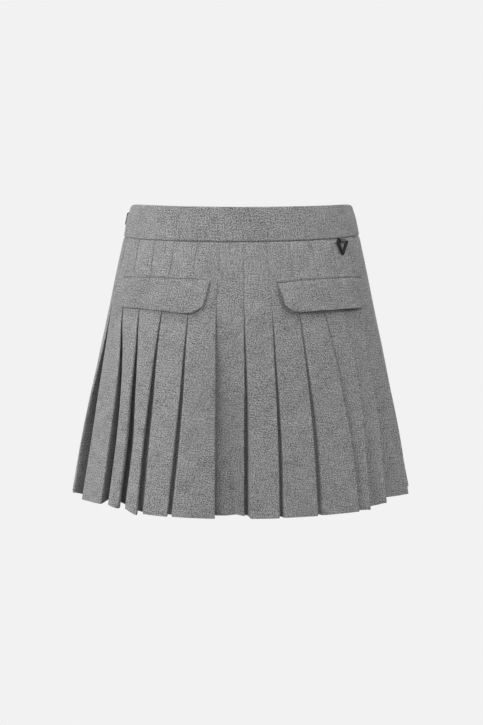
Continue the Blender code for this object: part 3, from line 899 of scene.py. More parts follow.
def axes(along: Vector, inwards: Vector, up: Vector) -> Matrix:
    """A turn onto three directions."""
    return Matrix((along, inwards, up)).transposed().to_4x4()


def half_thickness(level: float) -> float:
    """Half the pleated cloth's thickness: thin where it is stitched, full where it hangs."""
    return CLOSED_HALF + (OPEN_HALF - CLOSED_HALF) * opened(level)


def pleat_line(first: int, level: float) -> np.ndarray:
    """The cloth's middle line over a panel's pleats at a level.

    Args:
        first: the panel's first pleat.
        level: the level.

    Returns:
        Its points as (arc, out, rise).
    """
    spread = opened(level)
    pitch = CLOSED_PITCH + (OPEN_PITCH - CLOSED_PITCH) * spread
    half = half_thickness(level)
    shoulder_round = SHOULDER_ROUND_CLOSED
    shoulder_round += (SHOULDER_ROUND_OPEN - SHOULDER_ROUND_CLOSED) * spread
    floor_share = FLOOR_SHARE_CLOSED + (FLOOR_SHARE_OPEN - FLOOR_SHARE_CLOSED) * spread
    risen = max(0.0, (SEAM_HEIGHT - level) / (SEAM_HEIGHT - HEM_HEIGHT)) ** RISE_POWER
    corners = []
    for number in range(first, first + PANEL_PLEATS):
        before, pleat, after = (Pleat.numbered(number + step) for step in (-1, 0, 1))
        start = tuck_arc(number - 1, level) + half
        under = fold_arc(number - 1, level) + half
        fold = fold_arc(number, level) - half
        end = tuck_arc(number, level) + half
        sunk = min(0.0, before.out) * spread**2 - half - 2.0 * pitch
        start_out = sunk - before.opening * spread
        under_out = sunk - before.opening * spread * UNDER_FOLD_SHARE
        top = pleat.out * spread**2 - half
        turn = pitch + pleat.roll * spread
        end_out = min(top, -half) - pitch - pleat.opening * spread
        wide = before.gap if before.gap else max(0.0, end - 2.0 * half - under)
        shoulder = under + before.slit * (1.0 - spread) + wide * spread
        straight = under_out + (top - under_out) * (shoulder - under) / (fold - under)
        shoulder_out = max(straight, end_out + pitch)
        if before.gap:
            shoulder_out = top - pleat.drop * spread**2
        floor = under + (shoulder - under) * floor_share
        floor_out = under_out
        if not before.gap:
            floor_out += (shoulder_out - under_out) * (floor - under) / (shoulder - under)
        face = [(start, start_out, pitch)]
        for share in np.arange(1, UNDER_POINTS + 1) / (UNDER_POINTS + 1):
            out = start_out + (under_out - start_out) * share
            face.append((start + (under - start) * share, out, 0.0))
        face += [(under, under_out, 0.0), (floor, floor_out, 0.0)]
        face.append((shoulder, shoulder_out, shoulder_round))
        for step in range(1, FACE_POINTS + 1):
            share = 1.0 - (1.0 - step / (FACE_POINTS + 1)) ** FACE_EASE
            arc = shoulder + (fold - shoulder) * share
            swell = pleat.belly * spread * math.sin(math.pi * share) ** BELLY_POWER
            curl = pleat.lip * spread * max(0.0, 1.0 - (fold - arc) / LIP_REACH) ** 2
            face.append((arc, shoulder_out + (top - shoulder_out) * share + swell + curl, 0.0))
        face.append((fold, top + pleat.lip * spread, turn))
        turned = [(fold, top - turn, turn)]
        for step in range(1, RETURN_POINTS + 1):
            share = step / (RETURN_POINTS + 1)
            out = top - turn + (end_out - top + turn) * share
            turned.append((fold + (end - fold) * share, out, 0.0))
        turned.append((end, end_out, pitch))
        for part, first_arc, first_rise in (
            (face, under, pleat.rise_left), (turned, end, after.rise_left)
        ):
            for arc, out, reach in part:
                rise = float(np.interp(arc, (first_arc, fold), (first_rise, pleat.rise_right)))
                corners.append((arc, out, rise * risen, reach))
    return bent(corners)


def shell(
    name: str, outer: np.ndarray, inner: np.ndarray, grain: np.ndarray, look: Finish
) -> bpy.types.Object:
    """A closed thin shell between two matching grids of points.

    Args:
        name: the piece's name.
        outer: points of its outer skin, indexed [column, row, axis].
        inner: points of its inner skin.
        grain: cloth coordinates of the points, indexed [column, row, axis].
        look: its finish.

    Returns:
        The object, linked to the scene.
    """
    columns, rows = outer.shape[:2]
    bm = bmesh.new()
    skins = []
    for points in (outer, inner):
        made = bmesh.ops.create_grid(bm, x_segments=columns - 1, y_segments=rows - 1, size=1.0)
        skin = {}
        for vert in made["verts"]:
            i = round((vert.co.x + 1.0) * 0.5 * (columns - 1))
            j = round((vert.co.y + 1.0) * 0.5 * (rows - 1))
            skin[i, j] = vert
            vert.co = points[i, j]
        skins.append(skin)
    rim = [(i, 0) for i in range(columns)]
    rim += [(columns - 1, j) for j in range(1, rows)]
    rim += [(i, rows - 1) for i in range(columns - 2, -1, -1)]
    rim += [(0, j) for j in range(rows - 2, 0, -1)]
    for here, there in zip(rim, rim[1:] + rim[:1]):
        bm.faces.new((skins[0][here], skins[0][there], skins[1][there], skins[1][here]))
    places = {vert: place for skin in skins for place, vert in skin.items()}
    layer = bm.loops.layers.uv.new("grain")
    for face in bm.faces:
        for loop in face.loops:
            loop[layer].uv = grain[places[loop.vert]]
    bmesh.ops.recalc_face_normals(bm, faces=bm.faces)
    return add_piece(name, bm, look)


def add_piece(name: str, bm: bmesh.types.BMesh, look: Finish) -> bpy.types.Object:
    """A new smooth-shaded object from a bmesh.

    Args:
        name: the piece's name.
        bm: its mesh, which is freed.
        look: its finish.

    Returns:
        The object, linked to the scene.
    """
    for face in bm.faces:
        face.smooth = True
    mesh = bpy.data.meshes.new(name)
    bm.to_mesh(mesh)
    bm.free()
    mesh.materials.append(Finishes.of(look))
    piece = bpy.data.objects.new(name, mesh)
    bpy.context.scene.collection.objects.link(piece)
    return piece


def add_bead(
    bm: bmesh.types.BMesh, place: Vector, turn: Matrix, size: Sequence[float], fineness: int
) -> None:
    """Adds a small rounded grain to a bmesh."""
    matrix = Matrix.Translation(place) @ turn @ Matrix.Diagonal((*size, 1.0))
    bmesh.ops.create_icosphere(bm, subdivisions=fineness, radius=1.0, matrix=matrix)


def rounding(distance, half: float):
    """Share of its thickness that a folded edge has near its end."""
    return np.sqrt(1.0 - (1.0 - np.clip(distance / half, 0.0, 1.0)) ** 2)


@dataclass
class SubAssembly:
    """A group of pieces that ride on one CAD body.

    Attributes:
        body: the CAD body.
    """

    body: str = "garment"

    def add(self, piece: bpy.types.Object, slot: str, *nodes: str) -> bpy.types.Object:
        """Puts a piece on the body.

        Args:
            piece: the piece.
            slot: the record's material slot; not used.
            *nodes: the CAD nodes that it stands for.

        Returns:
            The piece.
        """
        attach(piece, self.body)
        if nodes:
            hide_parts(*nodes)
        log.info("%s: %d faces on %s", piece.name, len(piece.data.polygons), self.body)
        return piece


@dataclass
class PleatedBody(SubAssembly):
    """The two pleated panels below the waist seam."""

    drape: Drape = field(default_factory=Drape)

    @staticmethod
    def levels() -> np.ndarray:
        """The levels of the rows, closer together at the seam, the hem's stitch line and the edge.

        Returns:
            The levels from top to bottom.
        """
        hem_line = HEM_HEIGHT + HEM_TURN
        half = OPEN_HALF + 0.5 * HEM_LAYER
        seam = SEAM_HEIGHT - MM * np.array(SEAM_ROWS)
        middle = np.linspace(
            SEAM_HEIGHT - MIDDLE_FROM_SEAM, hem_line + MIDDLE_FROM_LINE, MIDDLE_ROWS
        )
        line = hem_line + MM * np.array(HEM_LINE_ROWS)
        lower = np.linspace(hem_line - LOWER_FROM_LINE, HEM_HEIGHT + LOWER_FROM_HEM, LOWER_ROWS)
        edge = HEM_HEIGHT + half * np.array(EDGE_STEPS[::-1])
        return np.concatenate((seam, middle, line, lower, edge))

    def panel(self, half: Half, first: int) -> None:
        """Builds one panel.

        Args:
            half: which half it covers.
            first: its first pleat.
        """
        skins, grain = ([], []), []
        hem_line = HEM_HEIGHT + HEM_TURN
        for level in self.levels():
            level = float(level)
            outline = oval(level)
            line = pleat_line(first, level)
            along = travelled(line[:, :2])
            grain.append(np.column_stack((along, np.full_like(along, level))))
            edge = float(rounding(level - HEM_HEIGHT, OPEN_HALF + 0.5 * HEM_LAYER))
            turned = float(smooth(-level, -(hem_line + MM), -(hem_line - MM)))
            off_line = (level - hem_line) / HEM_LINE_REACH
            dent = HEM_LINE_DEPTH * math.exp(-(off_line**2))
            wall = half_thickness(level)
            sides = (wall * edge - dent, -(wall + HEM_LAYER * turned) * edge)
            for skin, distance in zip(skins, sides):
                moved = beside(line[:, :2], distance)
                angle = outline.angle(moved[:, 0])
                out = moved[:, 1] + self.drape.out(moved[:, 0], level) - HEM_FLARE * line[:, 2]
                height = hung_height(level, angle) + line[:, 2]
                skin.append(np.column_stack((outline.place(angle, out), height)))
        outer, inner = (np.stack(skin, 1) for skin in skins)
        cloth = shell(f"pleated_{half.value}", outer, inner, np.stack(grain, 1), WOOL)
        piece = self.add(cloth, WOOL.name, f"skirt_{half.value}")

    def build(self) -> None:
        """Builds both panels."""
        self.panel(Half.FLAP_SIDE, FIRST_FRONT_PLEAT)
        self.panel(Half.FAR_SIDE, FIRST_FRONT_PLEAT + PANEL_PLEATS)


@dataclass
class Waistband(SubAssembly):
    """The contoured waistband, folded over at its top and seamed at the sides."""

    def half(self, half: Half, middle_angle: float) -> None:
        """Builds one half.

        Args:
            half: which half it is.
            middle_angle: the angle of its middle.
        """
        radius = 0.5 * BAND_WALL
        seam_depth = oval(SEAM_HEIGHT).half_depth
        side_gap = BAND_SEAM_GAP / seam_depth
        turn = across_places(math.pi, radius / seam_depth, BAND_COLUMNS)
        turn = side_gap + turn * (1.0 - 2.0 * side_gap / math.pi)
        angles = middle_angle - 0.5 * math.pi + turn
        side_round = rounding(np.minimum(turn, math.pi - turn) * seam_depth, radius)
        fullness = BAND_EDGE_LEAST + (1.0 - BAND_EDGE_LEAST) * side_round
        depth = float(waist_top(0.0) - SEAM_HEIGHT)
        top = waist_top(angles)
        skins, grain = ([], []), []
        for share in across_places(1.0, radius / depth, BAND_ROWS):
            level = WAIST_RISE + (SEAM_HEIGHT - WAIST_RISE) * float(share)
            outline = oval(level)
            height = top + (seam_height(angles) + BAND_SEAM_GAP - top) * share
            thick = radius * float(rounding(min(share, 1.0 - share) * depth, radius)) * fullness
            ripple = sum(
                size * np.sin(waves * angles + climb * height) for size, waves, climb in BAND_WAVES
            )
            middle = BAND_PROUD - radius + BAND_RIPPLE * ripple * math.sin(math.pi * float(share))
            for skin, side in zip(skins, (1.0, -1.0)):
                skin.append(np.column_stack((outline.place(angles, middle + side * thick), height)))
            along = angles * 0.5 * (outline.half_width + outline.half_depth)
            grain.append(np.column_stack((along, np.full_like(along, level) + 0.5)))
        outer, inner = (np.stack(skin, 1) for skin in skins)
        cloth = shell(f"band_{half.value}", outer, inner, np.stack(grain, 1), WOOL)
        piece = self.add(cloth, WOOL.name, f"waistband_{half.value}")

    def build(self) -> None:
        """Builds both halves."""
        self.half(Half.FLAP_SIDE, 0.0)
        self.half(Half.FAR_SIDE, math.pi)


@dataclass(frozen=True)
class FlapShape:
    """The outline of a pocket flap as (place, value) curves, millimetres.

    Drops are measured below the flap's mean top edge and widths from its inner edge.

    Attributes:
        inner: arc of the inner edge at some drops.
        outer: arc of the outer edge at some drops.
        bottom: drop of the lower edge at some widths.
        fold: drop of the upper edge at some widths.
        crease: drop of the sewn crease at some widths.
        lift: how far the lower edge stands off the body at some widths.
    """

    inner: tuple
    outer: tuple
    bottom: tuple
    fold: tuple
    crease: tuple
    lift: tuple


FLAP_SHAPES = {
    Hand.LEFT: FlapShape(
        inner=((0, 37.2), (42, 45.8)),
        outer=((0, 168), (9, 169.4), (23, 176.5), (33, 178.2), (42, 178.4)),
        bottom=((0, 34.6), (10.5, 42.2), (18, 43), (50, 41.6), (83, 40.8), (114, 41.9),
                (123, 38), (133, 32.9)),
        fold=((0, 2.9), (22, 0.5), (54, -0.7), (82, -1.6), (131, -1.6)),
        crease=((0, 3.5), (38, 3.6), (80, 4), (107, 5.4), (131, 8.2)),
        lift=((0, 4.4), (12, 3.4), (30, 2), (70, 1.5), (110, 1.7), (133, 2.4)),
    ),
    Hand.RIGHT: FlapShape(
        inner=((0, 41.5), (42, 52)),
        outer=((0, 173.6), (9, 174.2), (25, 175.4), (38.5, 173.9), (45, 173.4)),
        bottom=((0, 33.6), (8.5, 40.4), (17, 41.3), (57, 41), (80, 40.9), (110, 42.1),
                (122, 36.5)),
        fold=((0, 3), (18, 1), (31, 0.2), (90, 0.4), (131, 0.4)),
        crease=((0, 7.6), (11, 7.3), (30, 5.6), (58, 4.8), (107, 5.4), (131, 8.8)),
        lift=((0, 6), (14, 6.4), (40, 5.2), (80, 5), (110, 5), (122, 3.4)),
    ),
}


def read_curve(curve: Sequence[tuple[float, float]], place: float) -> float:
    """Reads a curve of a flap."""
    places, values = zip(*curve)
    return float(np.interp(place / MM, places, values)) * MM


@dataclass
class PocketFlap(SubAssembly):
    """A pocket flap, sewn down along a crease near its top and free below it."""

    hand: Hand = Hand.LEFT

    @property
    def shape(self) -> FlapShape:
        """The flap's outline."""
        return FLAP_SHAPES[self.hand]

    def skins_at(self, across: float, drop: float) -> tuple[float, float]:
        """How far the flap's two faces are off the body.

        Args:
            across: distance from its inner edge.
            drop: distance below its mean top edge.

        Returns:
            The outer face's and the inner face's distances.
        """
        shape = self.shape
        fold, crease, bottom = (
            read_curve(curve, across) for curve in (shape.fold, shape.crease, shape.bottom)
        )
        below = drop - crease
        if below < 0.0:
            wall = FLAP_STRIP_WALL * float(smooth(drop, *(fold + ease for ease in FLAP_FOLD_EASE)))
            wall *= float(smooth(-below, 0.0, FLAP_STRIP_EASE))
            return FLAP_OFF + FLAP_WALL_LEAST + wall, FLAP_OFF
        share = below / max(bottom - crease, MM)
        lift = read_curve(shape.lift, across) * share**FLAP_HOLLOW
        phase = across / FLAP_WAVE_REACH + FLAP_WAVE_START * self.hand.value
        grown = float(smooth(below, 0.0, FLAP_WALL_REACH))
        wall = FLAP_WALL * (FLAP_WALL_SHARE + (1.0 - FLAP_WALL_SHARE) * grown)
        wall *= float(smooth(below, *FLAP_CREASE_EASE))
        near = FLAP_OFF + max(0.0, lift + FLAP_WAVE * share * math.sin(phase))
        return near + FLAP_WALL_LEAST + wall, near

    def point(self, across: float, drop: float, off: float) -> Vector:
        """A point of the flap.

        Args:
            across: distance from its inner edge.
            drop: distance below its mean top edge.
            off: distance off the body.

        Returns:
            The point.
        """
        start, end = read_curve(self.shape.inner, drop), read_curve(self.shape.outer, drop)
        arc = self.hand.value * (start + (end - start) * across / FLAP_WIDTH)
        angle = oval(FLAP_ARC_LEVEL).angle(arc)
        height = FLAP_TOP_HEIGHT - drop
        return Vector((*oval(round(height, 5)).place(angle, off), height))

    def build(self) -> None:
        """Builds the flap."""
        half = FLAP_EDGE_ROUND
        ends = half * np.array(EDGE_STEPS)
        marks = (half, *FLAP_CORNERS, FLAP_WIDTH - half)
        parts = [
            np.linspace(start, end, count)
            for start, end, count in zip(marks, marks[1:], FLAP_COLUMNS)
        ]
        columns = np.concatenate(
            (ends[:-1], *(part[:-1] for part in parts[:-1]), parts[-1], FLAP_WIDTH - ends[-2::-1])
        )
        skins, grain = ([], []), []
        for across in columns:
            across = float(across)
            fold, crease, deep = (
                read_curve(curve, across)
                for curve in (self.shape.fold, self.shape.crease, self.shape.bottom)
            )
            strip = fold + (crease - fold) * np.array(FLAP_STRIP_SHARES)
            near = crease + MM * np.array(FLAP_CREASE_ROWS)
            lower = np.linspace(crease + FLAP_LOWER_START, deep - half, FLAP_LOWER_ROWS)
            drops = np.maximum.accumulate(np.concatenate((strip, near, lower, deep - ends[-2::-1])))
            end = float(rounding(min(across, FLAP_WIDTH - across), half))
            column = ([], [])
            for drop in drops:
                drop = float(drop)
                far_off, near_off = self.skins_at(across, drop)
                edge = float(rounding(deep - drop, half)) * end
                middle, wall = 0.5 * (far_off + near_off), 0.5 * (far_off - near_off)
                for points, side in zip(column, (1.0, -1.0)):
                    points.append(self.point(across, drop, middle + side * wall * edge))
                grain.append((across * self.hand.value, -drop))
            for skin, points in zip(skins, column):
                skin.append(points)
        outer, inner = (np.array(skin) for skin in skins)
        coordinates = np.array(grain).reshape(*outer.shape[:2], 2) + FLAP_GRAIN_START
        hand = self.hand.name.lower()
        # The flap is made in the darker copy of the wool: painted shade.
        cloth = shell(f"pocket_{hand}", outer, inner, coordinates, SHADED_FLAP_WOOL)
        piece = self.add(cloth, WOOL.name, f"flap_{hand}")

    def stitch_line(self) -> list[tuple[Vector, Vector]]:
        """The line of stitches in the crease that holds the flap.

        Returns:
            (point, outward direction) pairs.
        """
        line = []
        ends = (FLAP_STITCH_INSET, FLAP_WIDTH - FLAP_STITCH_INSET)
        for across in np.linspace(*ends, FLAP_STITCH_STATIONS):
            drop = read_curve(self.shape.crease, float(across))
            near = self.point(float(across), drop, FLAP_STITCH_OUT)
            far = self.point(float(across), drop, FLAP_STITCH_OUT + MM)
            line.append((near, (far - near).normalized()))
        return line


@dataclass
class Sewing(SubAssembly):
    """Visible stitches, as short raised threads along lines on the cloth."""

    drape: Drape = field(default_factory=Drape)

    def run(self, name: str, lines: Sequence[list[tuple[Vector, Vector]]]) -> None:
        """Sews some lines.

        Args:
            name: the piece's name.
            lines: each a list of (point, outward direction) pairs.
        """
        bm = bmesh.new()
        for line in lines:
            points, normals = (np.array(values) for values in zip(*line))
            lengths = travelled(points)
            for start in np.arange(0.5 * STITCH_PITCH, lengths[-1] - STITCH_LENGTH, STITCH_PITCH):
                middle = start + 0.5 * STITCH_LENGTH
                wanted = ((middle, points), (middle + 0.2 * MM, points), (middle, normals))
                here, ahead, normal = (
                    Vector([float(np.interp(at, lengths, values[:, axis])) for axis in range(3)])
                    for at, values in wanted
                )
                along = (ahead - here).normalized()
                side = normal.cross(along).normalized()
                add_bead(bm, here, axes(along, side, along.cross(side)), STITCH_SIZE, 1)
        self.add(add_piece(name, bm, THREAD), WOOL.name)

    def edge_line(self, number: int) -> list[tuple[Vector, Vector]]:
        """The stitches beside a pleat's fold, from the waist seam to where it is let go.

        Args:
            number: the pleat.

        Returns:
            (point, outward direction) pairs.
        """
        line = []
        ends = (SEAM_HEIGHT - PLEAT_STITCH_INSET, RELEASE_HEIGHT - PLEAT_STITCH_INSET)
        for level in np.linspace(*ends, PLEAT_STITCH_STATIONS):
            level = float(level)
            outline = oval(level)
            arc = np.array([fold_arc(number, level) - EDGE_STITCH_INSET])
            angle = outline.angle(arc)
            off = self.drape.out(arc, level) + PLEAT_STITCH_OUT
            height = float(hung_height(level, angle)[0])
            near = Vector((*outline.place(angle, off)[0], height))
            far = Vector((*outline.place(angle, off + MM)[0], height))
            line.append((near, (far - near).normalized()))
        return line

    def build(self, flaps: Sequence[PocketFlap]) -> None:
        """Sews the pleats' edges and the flaps.

        Args:
            flaps: the flaps.
        """
        pleats = range(FIRST_FRONT_PLEAT, FIRST_FRONT_PLEAT + PLEATS)
        self.run("pleat_stitches", [self.edge_line(number) for number in pleats])
        self.run("flap_stitches", [flap.stitch_line() for flap in flaps])


def cloth_frame(angle: float, height: float, out: float) -> Matrix:
    """A frame on the cloth: X along it towards rising arc, Y inwards through it, Z up it.

    Args:
        angle: where it is round the body.
        height: its height.
        out: its distance off the outline.

    Returns:
        The frame.
    """
    below = 5.0 * MM
    here = Vector((*oval(height).place(angle, out), height))
    lower = Vector((*oval(height - below).place(angle, out), height - below))
    up = (here - lower).normalized()
    outline = oval(height)
    ahead, aside = math.cos(angle) * outline.half_width, math.sin(angle) * outline.half_depth
    along = Vector((ahead, aside, 0.0))
    along = (along - up * along.dot(up)).normalized()
    return Matrix.Translation(here) @ axes(along, up.cross(along), up)


def ring_frame() -> Matrix:
    """Frame of the triangular ring: its origin is in the middle of the bar in the loop.

    Returns:
        The frame.
    """
    angle = float(oval(SEAM_HEIGHT).angle(RING_ARC))
    lifted = Matrix.Translation((0.0, 0.0, float(seam_height(angle)) - SEAM_HEIGHT))
    place = lifted @ cloth_frame(angle, SEAM_HEIGHT - RING_BAR_DROP, RING_OFF)
    return place @ Matrix.Rotation(-RING_TILT, 4, "Y")


def rounded_outline(
    corners: Sequence[Sequence[float]], radius: float, turns: int, sides: int
) -> list[Vector]:
    """A closed outline with each corner turned as an arc.

    Args:
        corners: its corners.
        radius: the arcs' radius.
        turns: steps of each arc.
        sides: points along each side.

    Returns:
        Its points.
    """
    points = []
    count = len(corners)
    for index, place in enumerate(corners):
        corner = Vector(place)
        before = (Vector(corners[index - 1]) - corner).normalized()
        after = (Vector(corners[(index + 1) % count]) - corner).normalized()
        half_angle = 0.5 * before.angle(after)
        reach = radius / math.tan(half_angle)
        centre = corner + (before + after).normalized() * (radius / math.sin(half_angle))
        start = (corner + before * reach - centre).normalized()
        end = (corner + after * reach - centre).normalized()
        points += [centre + start.slerp(end, step / turns) * radius for step in range(turns + 1)]
        leave = corner + after * reach
        arrive = Vector(corners[(index + 1) % count]) - after * reach
        points += [leave.lerp(arrive, step / (sides + 1)) for step in range(1, sides + 1)]
    return points


@dataclass
class TriangularRing(SubAssembly):
    """The flat triangular ring, its edges softened."""

    body: str = "ring"

    SECTION = 24
    SQUARENESS = 0.55
    CORNER_STEPS = 8
    SIDE_POINTS = 5
    HOLE_CORNER_SHARE = 0.35

    @staticmethod
    def triangle(side: float, drop: float) -> list[tuple[float, float]]:
        """A triangle that points down."""
        tip = side * math.sin(math.radians(60.0))
        return [(0.5 * side, -drop), (-0.5 * side, -drop), (0.0, -drop - tip)]

    def build(self) -> None:
        """Builds the ring."""
        hole_side = RING_SIDE - 2.0 * RING_ARM * math.sqrt(3.0)
        hole_side += (RING_ARM - RING_BAR) * 2.0 / math.sqrt(3.0)
        edge, hole = (
            rounded_outline(self.triangle(side, drop), radius, self.CORNER_STEPS, self.SIDE_POINTS)
            for side, drop, radius in (
                (RING_SIDE, -0.5 * RING_BAR, RING_CORNER),
                (hole_side, 0.5 * RING_BAR, self.HOLE_CORNER_SHARE * RING_CORNER),
            )
        )
        count = len(edge)
        bm = bmesh.new()
        made = bmesh.ops.create_grid(bm, x_segments=count, y_segments=self.SECTION, size=1.0)
        for vert in made["verts"]:
            i = round((vert.co.x + 1.0) * 0.5 * count) % count
            turn = 2.0 * math.pi * round((vert.co.y + 1.0) * 0.5 * self.SECTION) / self.SECTION
            wide, thick = (
                math.copysign(abs(value) ** self.SQUARENESS, value)
                for value in (math.cos(turn), math.sin(turn))
            )
            flat = edge[i].lerp(hole[i], 0.5 - 0.5 * wide)
            vert.co = (flat.x, 0.5 * RING_THICKNESS * thick, flat.y)
        bmesh.ops.remove_doubles(bm, verts=bm.verts, dist=0.00001)
        bmesh.ops.recalc_face_normals(bm, faces=bm.faces)
        bm.transform(ring_frame() @ Matrix.Rotation(RING_LEAN, 4, "X"))
        self.add(add_piece("ring_badge", bm, METAL), METAL.name, "triangle_ring")


@dataclass
class TapeLoop(SubAssembly):
    """The folded tape that comes out of the waist seam and carries the ring."""

    # Path of the tape's middle in the ring's frame: inwards, up, reach of its bend, millimetres
    PATH = (
        (3.3, 4.6, 0.0),
        (2.3, 3.3, 1.0),
        (-1.2, 2.2, 1.2),
        (-2.0, 0.2, 1.2),
        (-1.75, -1.75, 1.5),
        (1.75, -1.75, 1.5),
        (2.0, 1.2, 1.2),
        (2.9, 3.6, 0.0),
    )

    def build(self) -> None:
        """Builds the loop."""
        line = bent([tuple(value * MM for value in corner) for corner in self.PATH])
        half_width = 0.5 * TAPE_WIDTH
        across = across_places(TAPE_WIDTH, TAPE_HALF, TAPE_COLUMNS)
        edge = rounding(np.minimum(across, TAPE_WIDTH - across), TAPE_HALF)
        turn = ring_frame()
        skins = []
        for side in (1.0, -1.0):
            skin = []
            for row, share in zip(across, edge):
                moved = beside(line, side * TAPE_HALF * float(share))
                x = TAPE_SHIFT - half_width + float(row)
                skin.append([turn @ Vector((x, float(y), float(z))) for y, z in moved])
            skins.append(np.array(skin))
        grain = np.stack(np.broadcast_arrays(travelled(line)[None, :], across[:, None]), -1)
        self.add(shell("ring_loop", *skins, grain, TAPE), TAPE.name, "ring_tape")


def zip_frame() -> Matrix:
    """Frame of the zip's slider, on the waistband's side seam at the viewer's left.

    Returns:
        The frame.
    """
    top, bottom = float(waist_top(ZIP_ANGLE)), float(seam_height(ZIP_ANGLE)) + HALF_SEAM_GAP
    share = (top - ZIP_HEIGHT) / (top - bottom)
    ends = []
    for at in (share - ZIP_REACH, share + ZIP_REACH):
        level = WAIST_RISE + (SEAM_HEIGHT - WAIST_RISE) * at
        ends.append(Vector((*oval(level).place(ZIP_ANGLE, BAND_PROUD), top + (bottom - top) * at)))
    up = (ends[0] - ends[1]).normalized()
    along = Vector((0.0, -1.0, 0.0))
    return Matrix.Translation(0.5 * (ends[0] + ends[1])) @ axes(along, up.cross(along), up)


def scaled(corners: Sequence[Sequence[float]], aside: float = 0.0) -> list[tuple[float, float]]:
    """Corners in metres."""
    return [(aside + x * MM, z * MM) for x, z in corners]


def plate(
    bm: bmesh.types.BMesh, outline: Sequence[Sequence[float]], near: float, far: float, bevel: float
) -> None:
    """Adds a flat plate with softened edges to a bmesh.

    Args:
        bm: the bmesh.
        outline: its outline as (x, z).
        near: its lower Y.
        far: its upper Y.
        bevel: how much its edges are softened.
    """
    made = bmesh.ops.create_circle(bm, cap_ends=True, segments=len(outline), radius=1.0)
    for vert, (x, z) in zip(made["verts"], outline):
        vert.co = (x, near, z)
    face = made["verts"][0].link_faces[0]
    grown = bmesh.ops.extrude_face_region(bm, geom=[face])
    lifted = [item for item in grown["geom"] if isinstance(item, bmesh.types.BMVert)]
    bmesh.ops.translate(bm, vec=(0.0, far - near, 0.0), verts=lifted)
    caps = [face for face in bm.faces if len(face.verts) == len(outline) and face.is_valid]
    rims = list(dict.fromkeys(edge for cap in caps[-2:] for edge in cap.edges))
    bmesh.ops.bevel(
        bm, geom=rims, offset=bevel, segments=3, profile=0.5, affect="EDGES", material=-1
    )


@dataclass
class ZipSlider(SubAssembly):
    """The crown of the concealed zip's slider, with the two lugs that carry the pull."""

    def build(self) -> None:
        """Builds the slider."""
        bm = bmesh.new()
        crown = rounded_outline(scaled(CROWN_CORNERS), 0.8 * MM, 5, 2)
        plate(bm, crown, *CROWN_SPAN, 0.25 * MM)
        for aside in (-LUG_ASIDE, LUG_ASIDE):
            lug = rounded_outline(scaled(LUG_CORNERS, aside), 0.35 * MM, 4, 1)
            plate(bm, lug, *LUG_SPAN, 0.2 * MM)
        middle = Matrix.Translation((0.0, -PIVOT_OUT - PIN_BEHIND_PIVOT, 0.0))
        bmesh.ops.create_cone(
            bm, cap_ends=True, segments=16, radius1=PIN_RADIUS, radius2=PIN_RADIUS,
            depth=PIN_LENGTH, matrix=middle @ Matrix.Rotation(0.5 * math.pi, 4, "Y"),
        )
        bmesh.ops.recalc_face_normals(bm, faces=bm.faces)
        bm.transform(zip_frame())
        self.add(add_piece("slider_crown", bm, METAL), METAL.name, "zip_slider")


@dataclass
class ZipPull(SubAssembly):
    """The slim pull tab that hangs from the slider."""

    body: str = "zip_tab"

    def build(self) -> None:
        """Builds the tab."""
        bm = bmesh.new()
        tab = rounded_outline(scaled(TAB_CORNERS), 0.35 * MM, 4, 2)
        plate(bm, tab, -0.5 * PULL_THICKNESS, 0.5 * PULL_THICKNESS, 0.22 * MM)
        bmesh.ops.recalc_face_normals(bm, faces=bm.faces)
        pivot = zip_frame() @ Matrix.Translation((0.0, -PIVOT_OUT, 0.0))
        bm.transform(pivot @ Matrix.Rotation(TAB_LEAN, 4, "X"))
        self.add(add_piece("pull_tab", bm, METAL), METAL.name, "zip_pull")


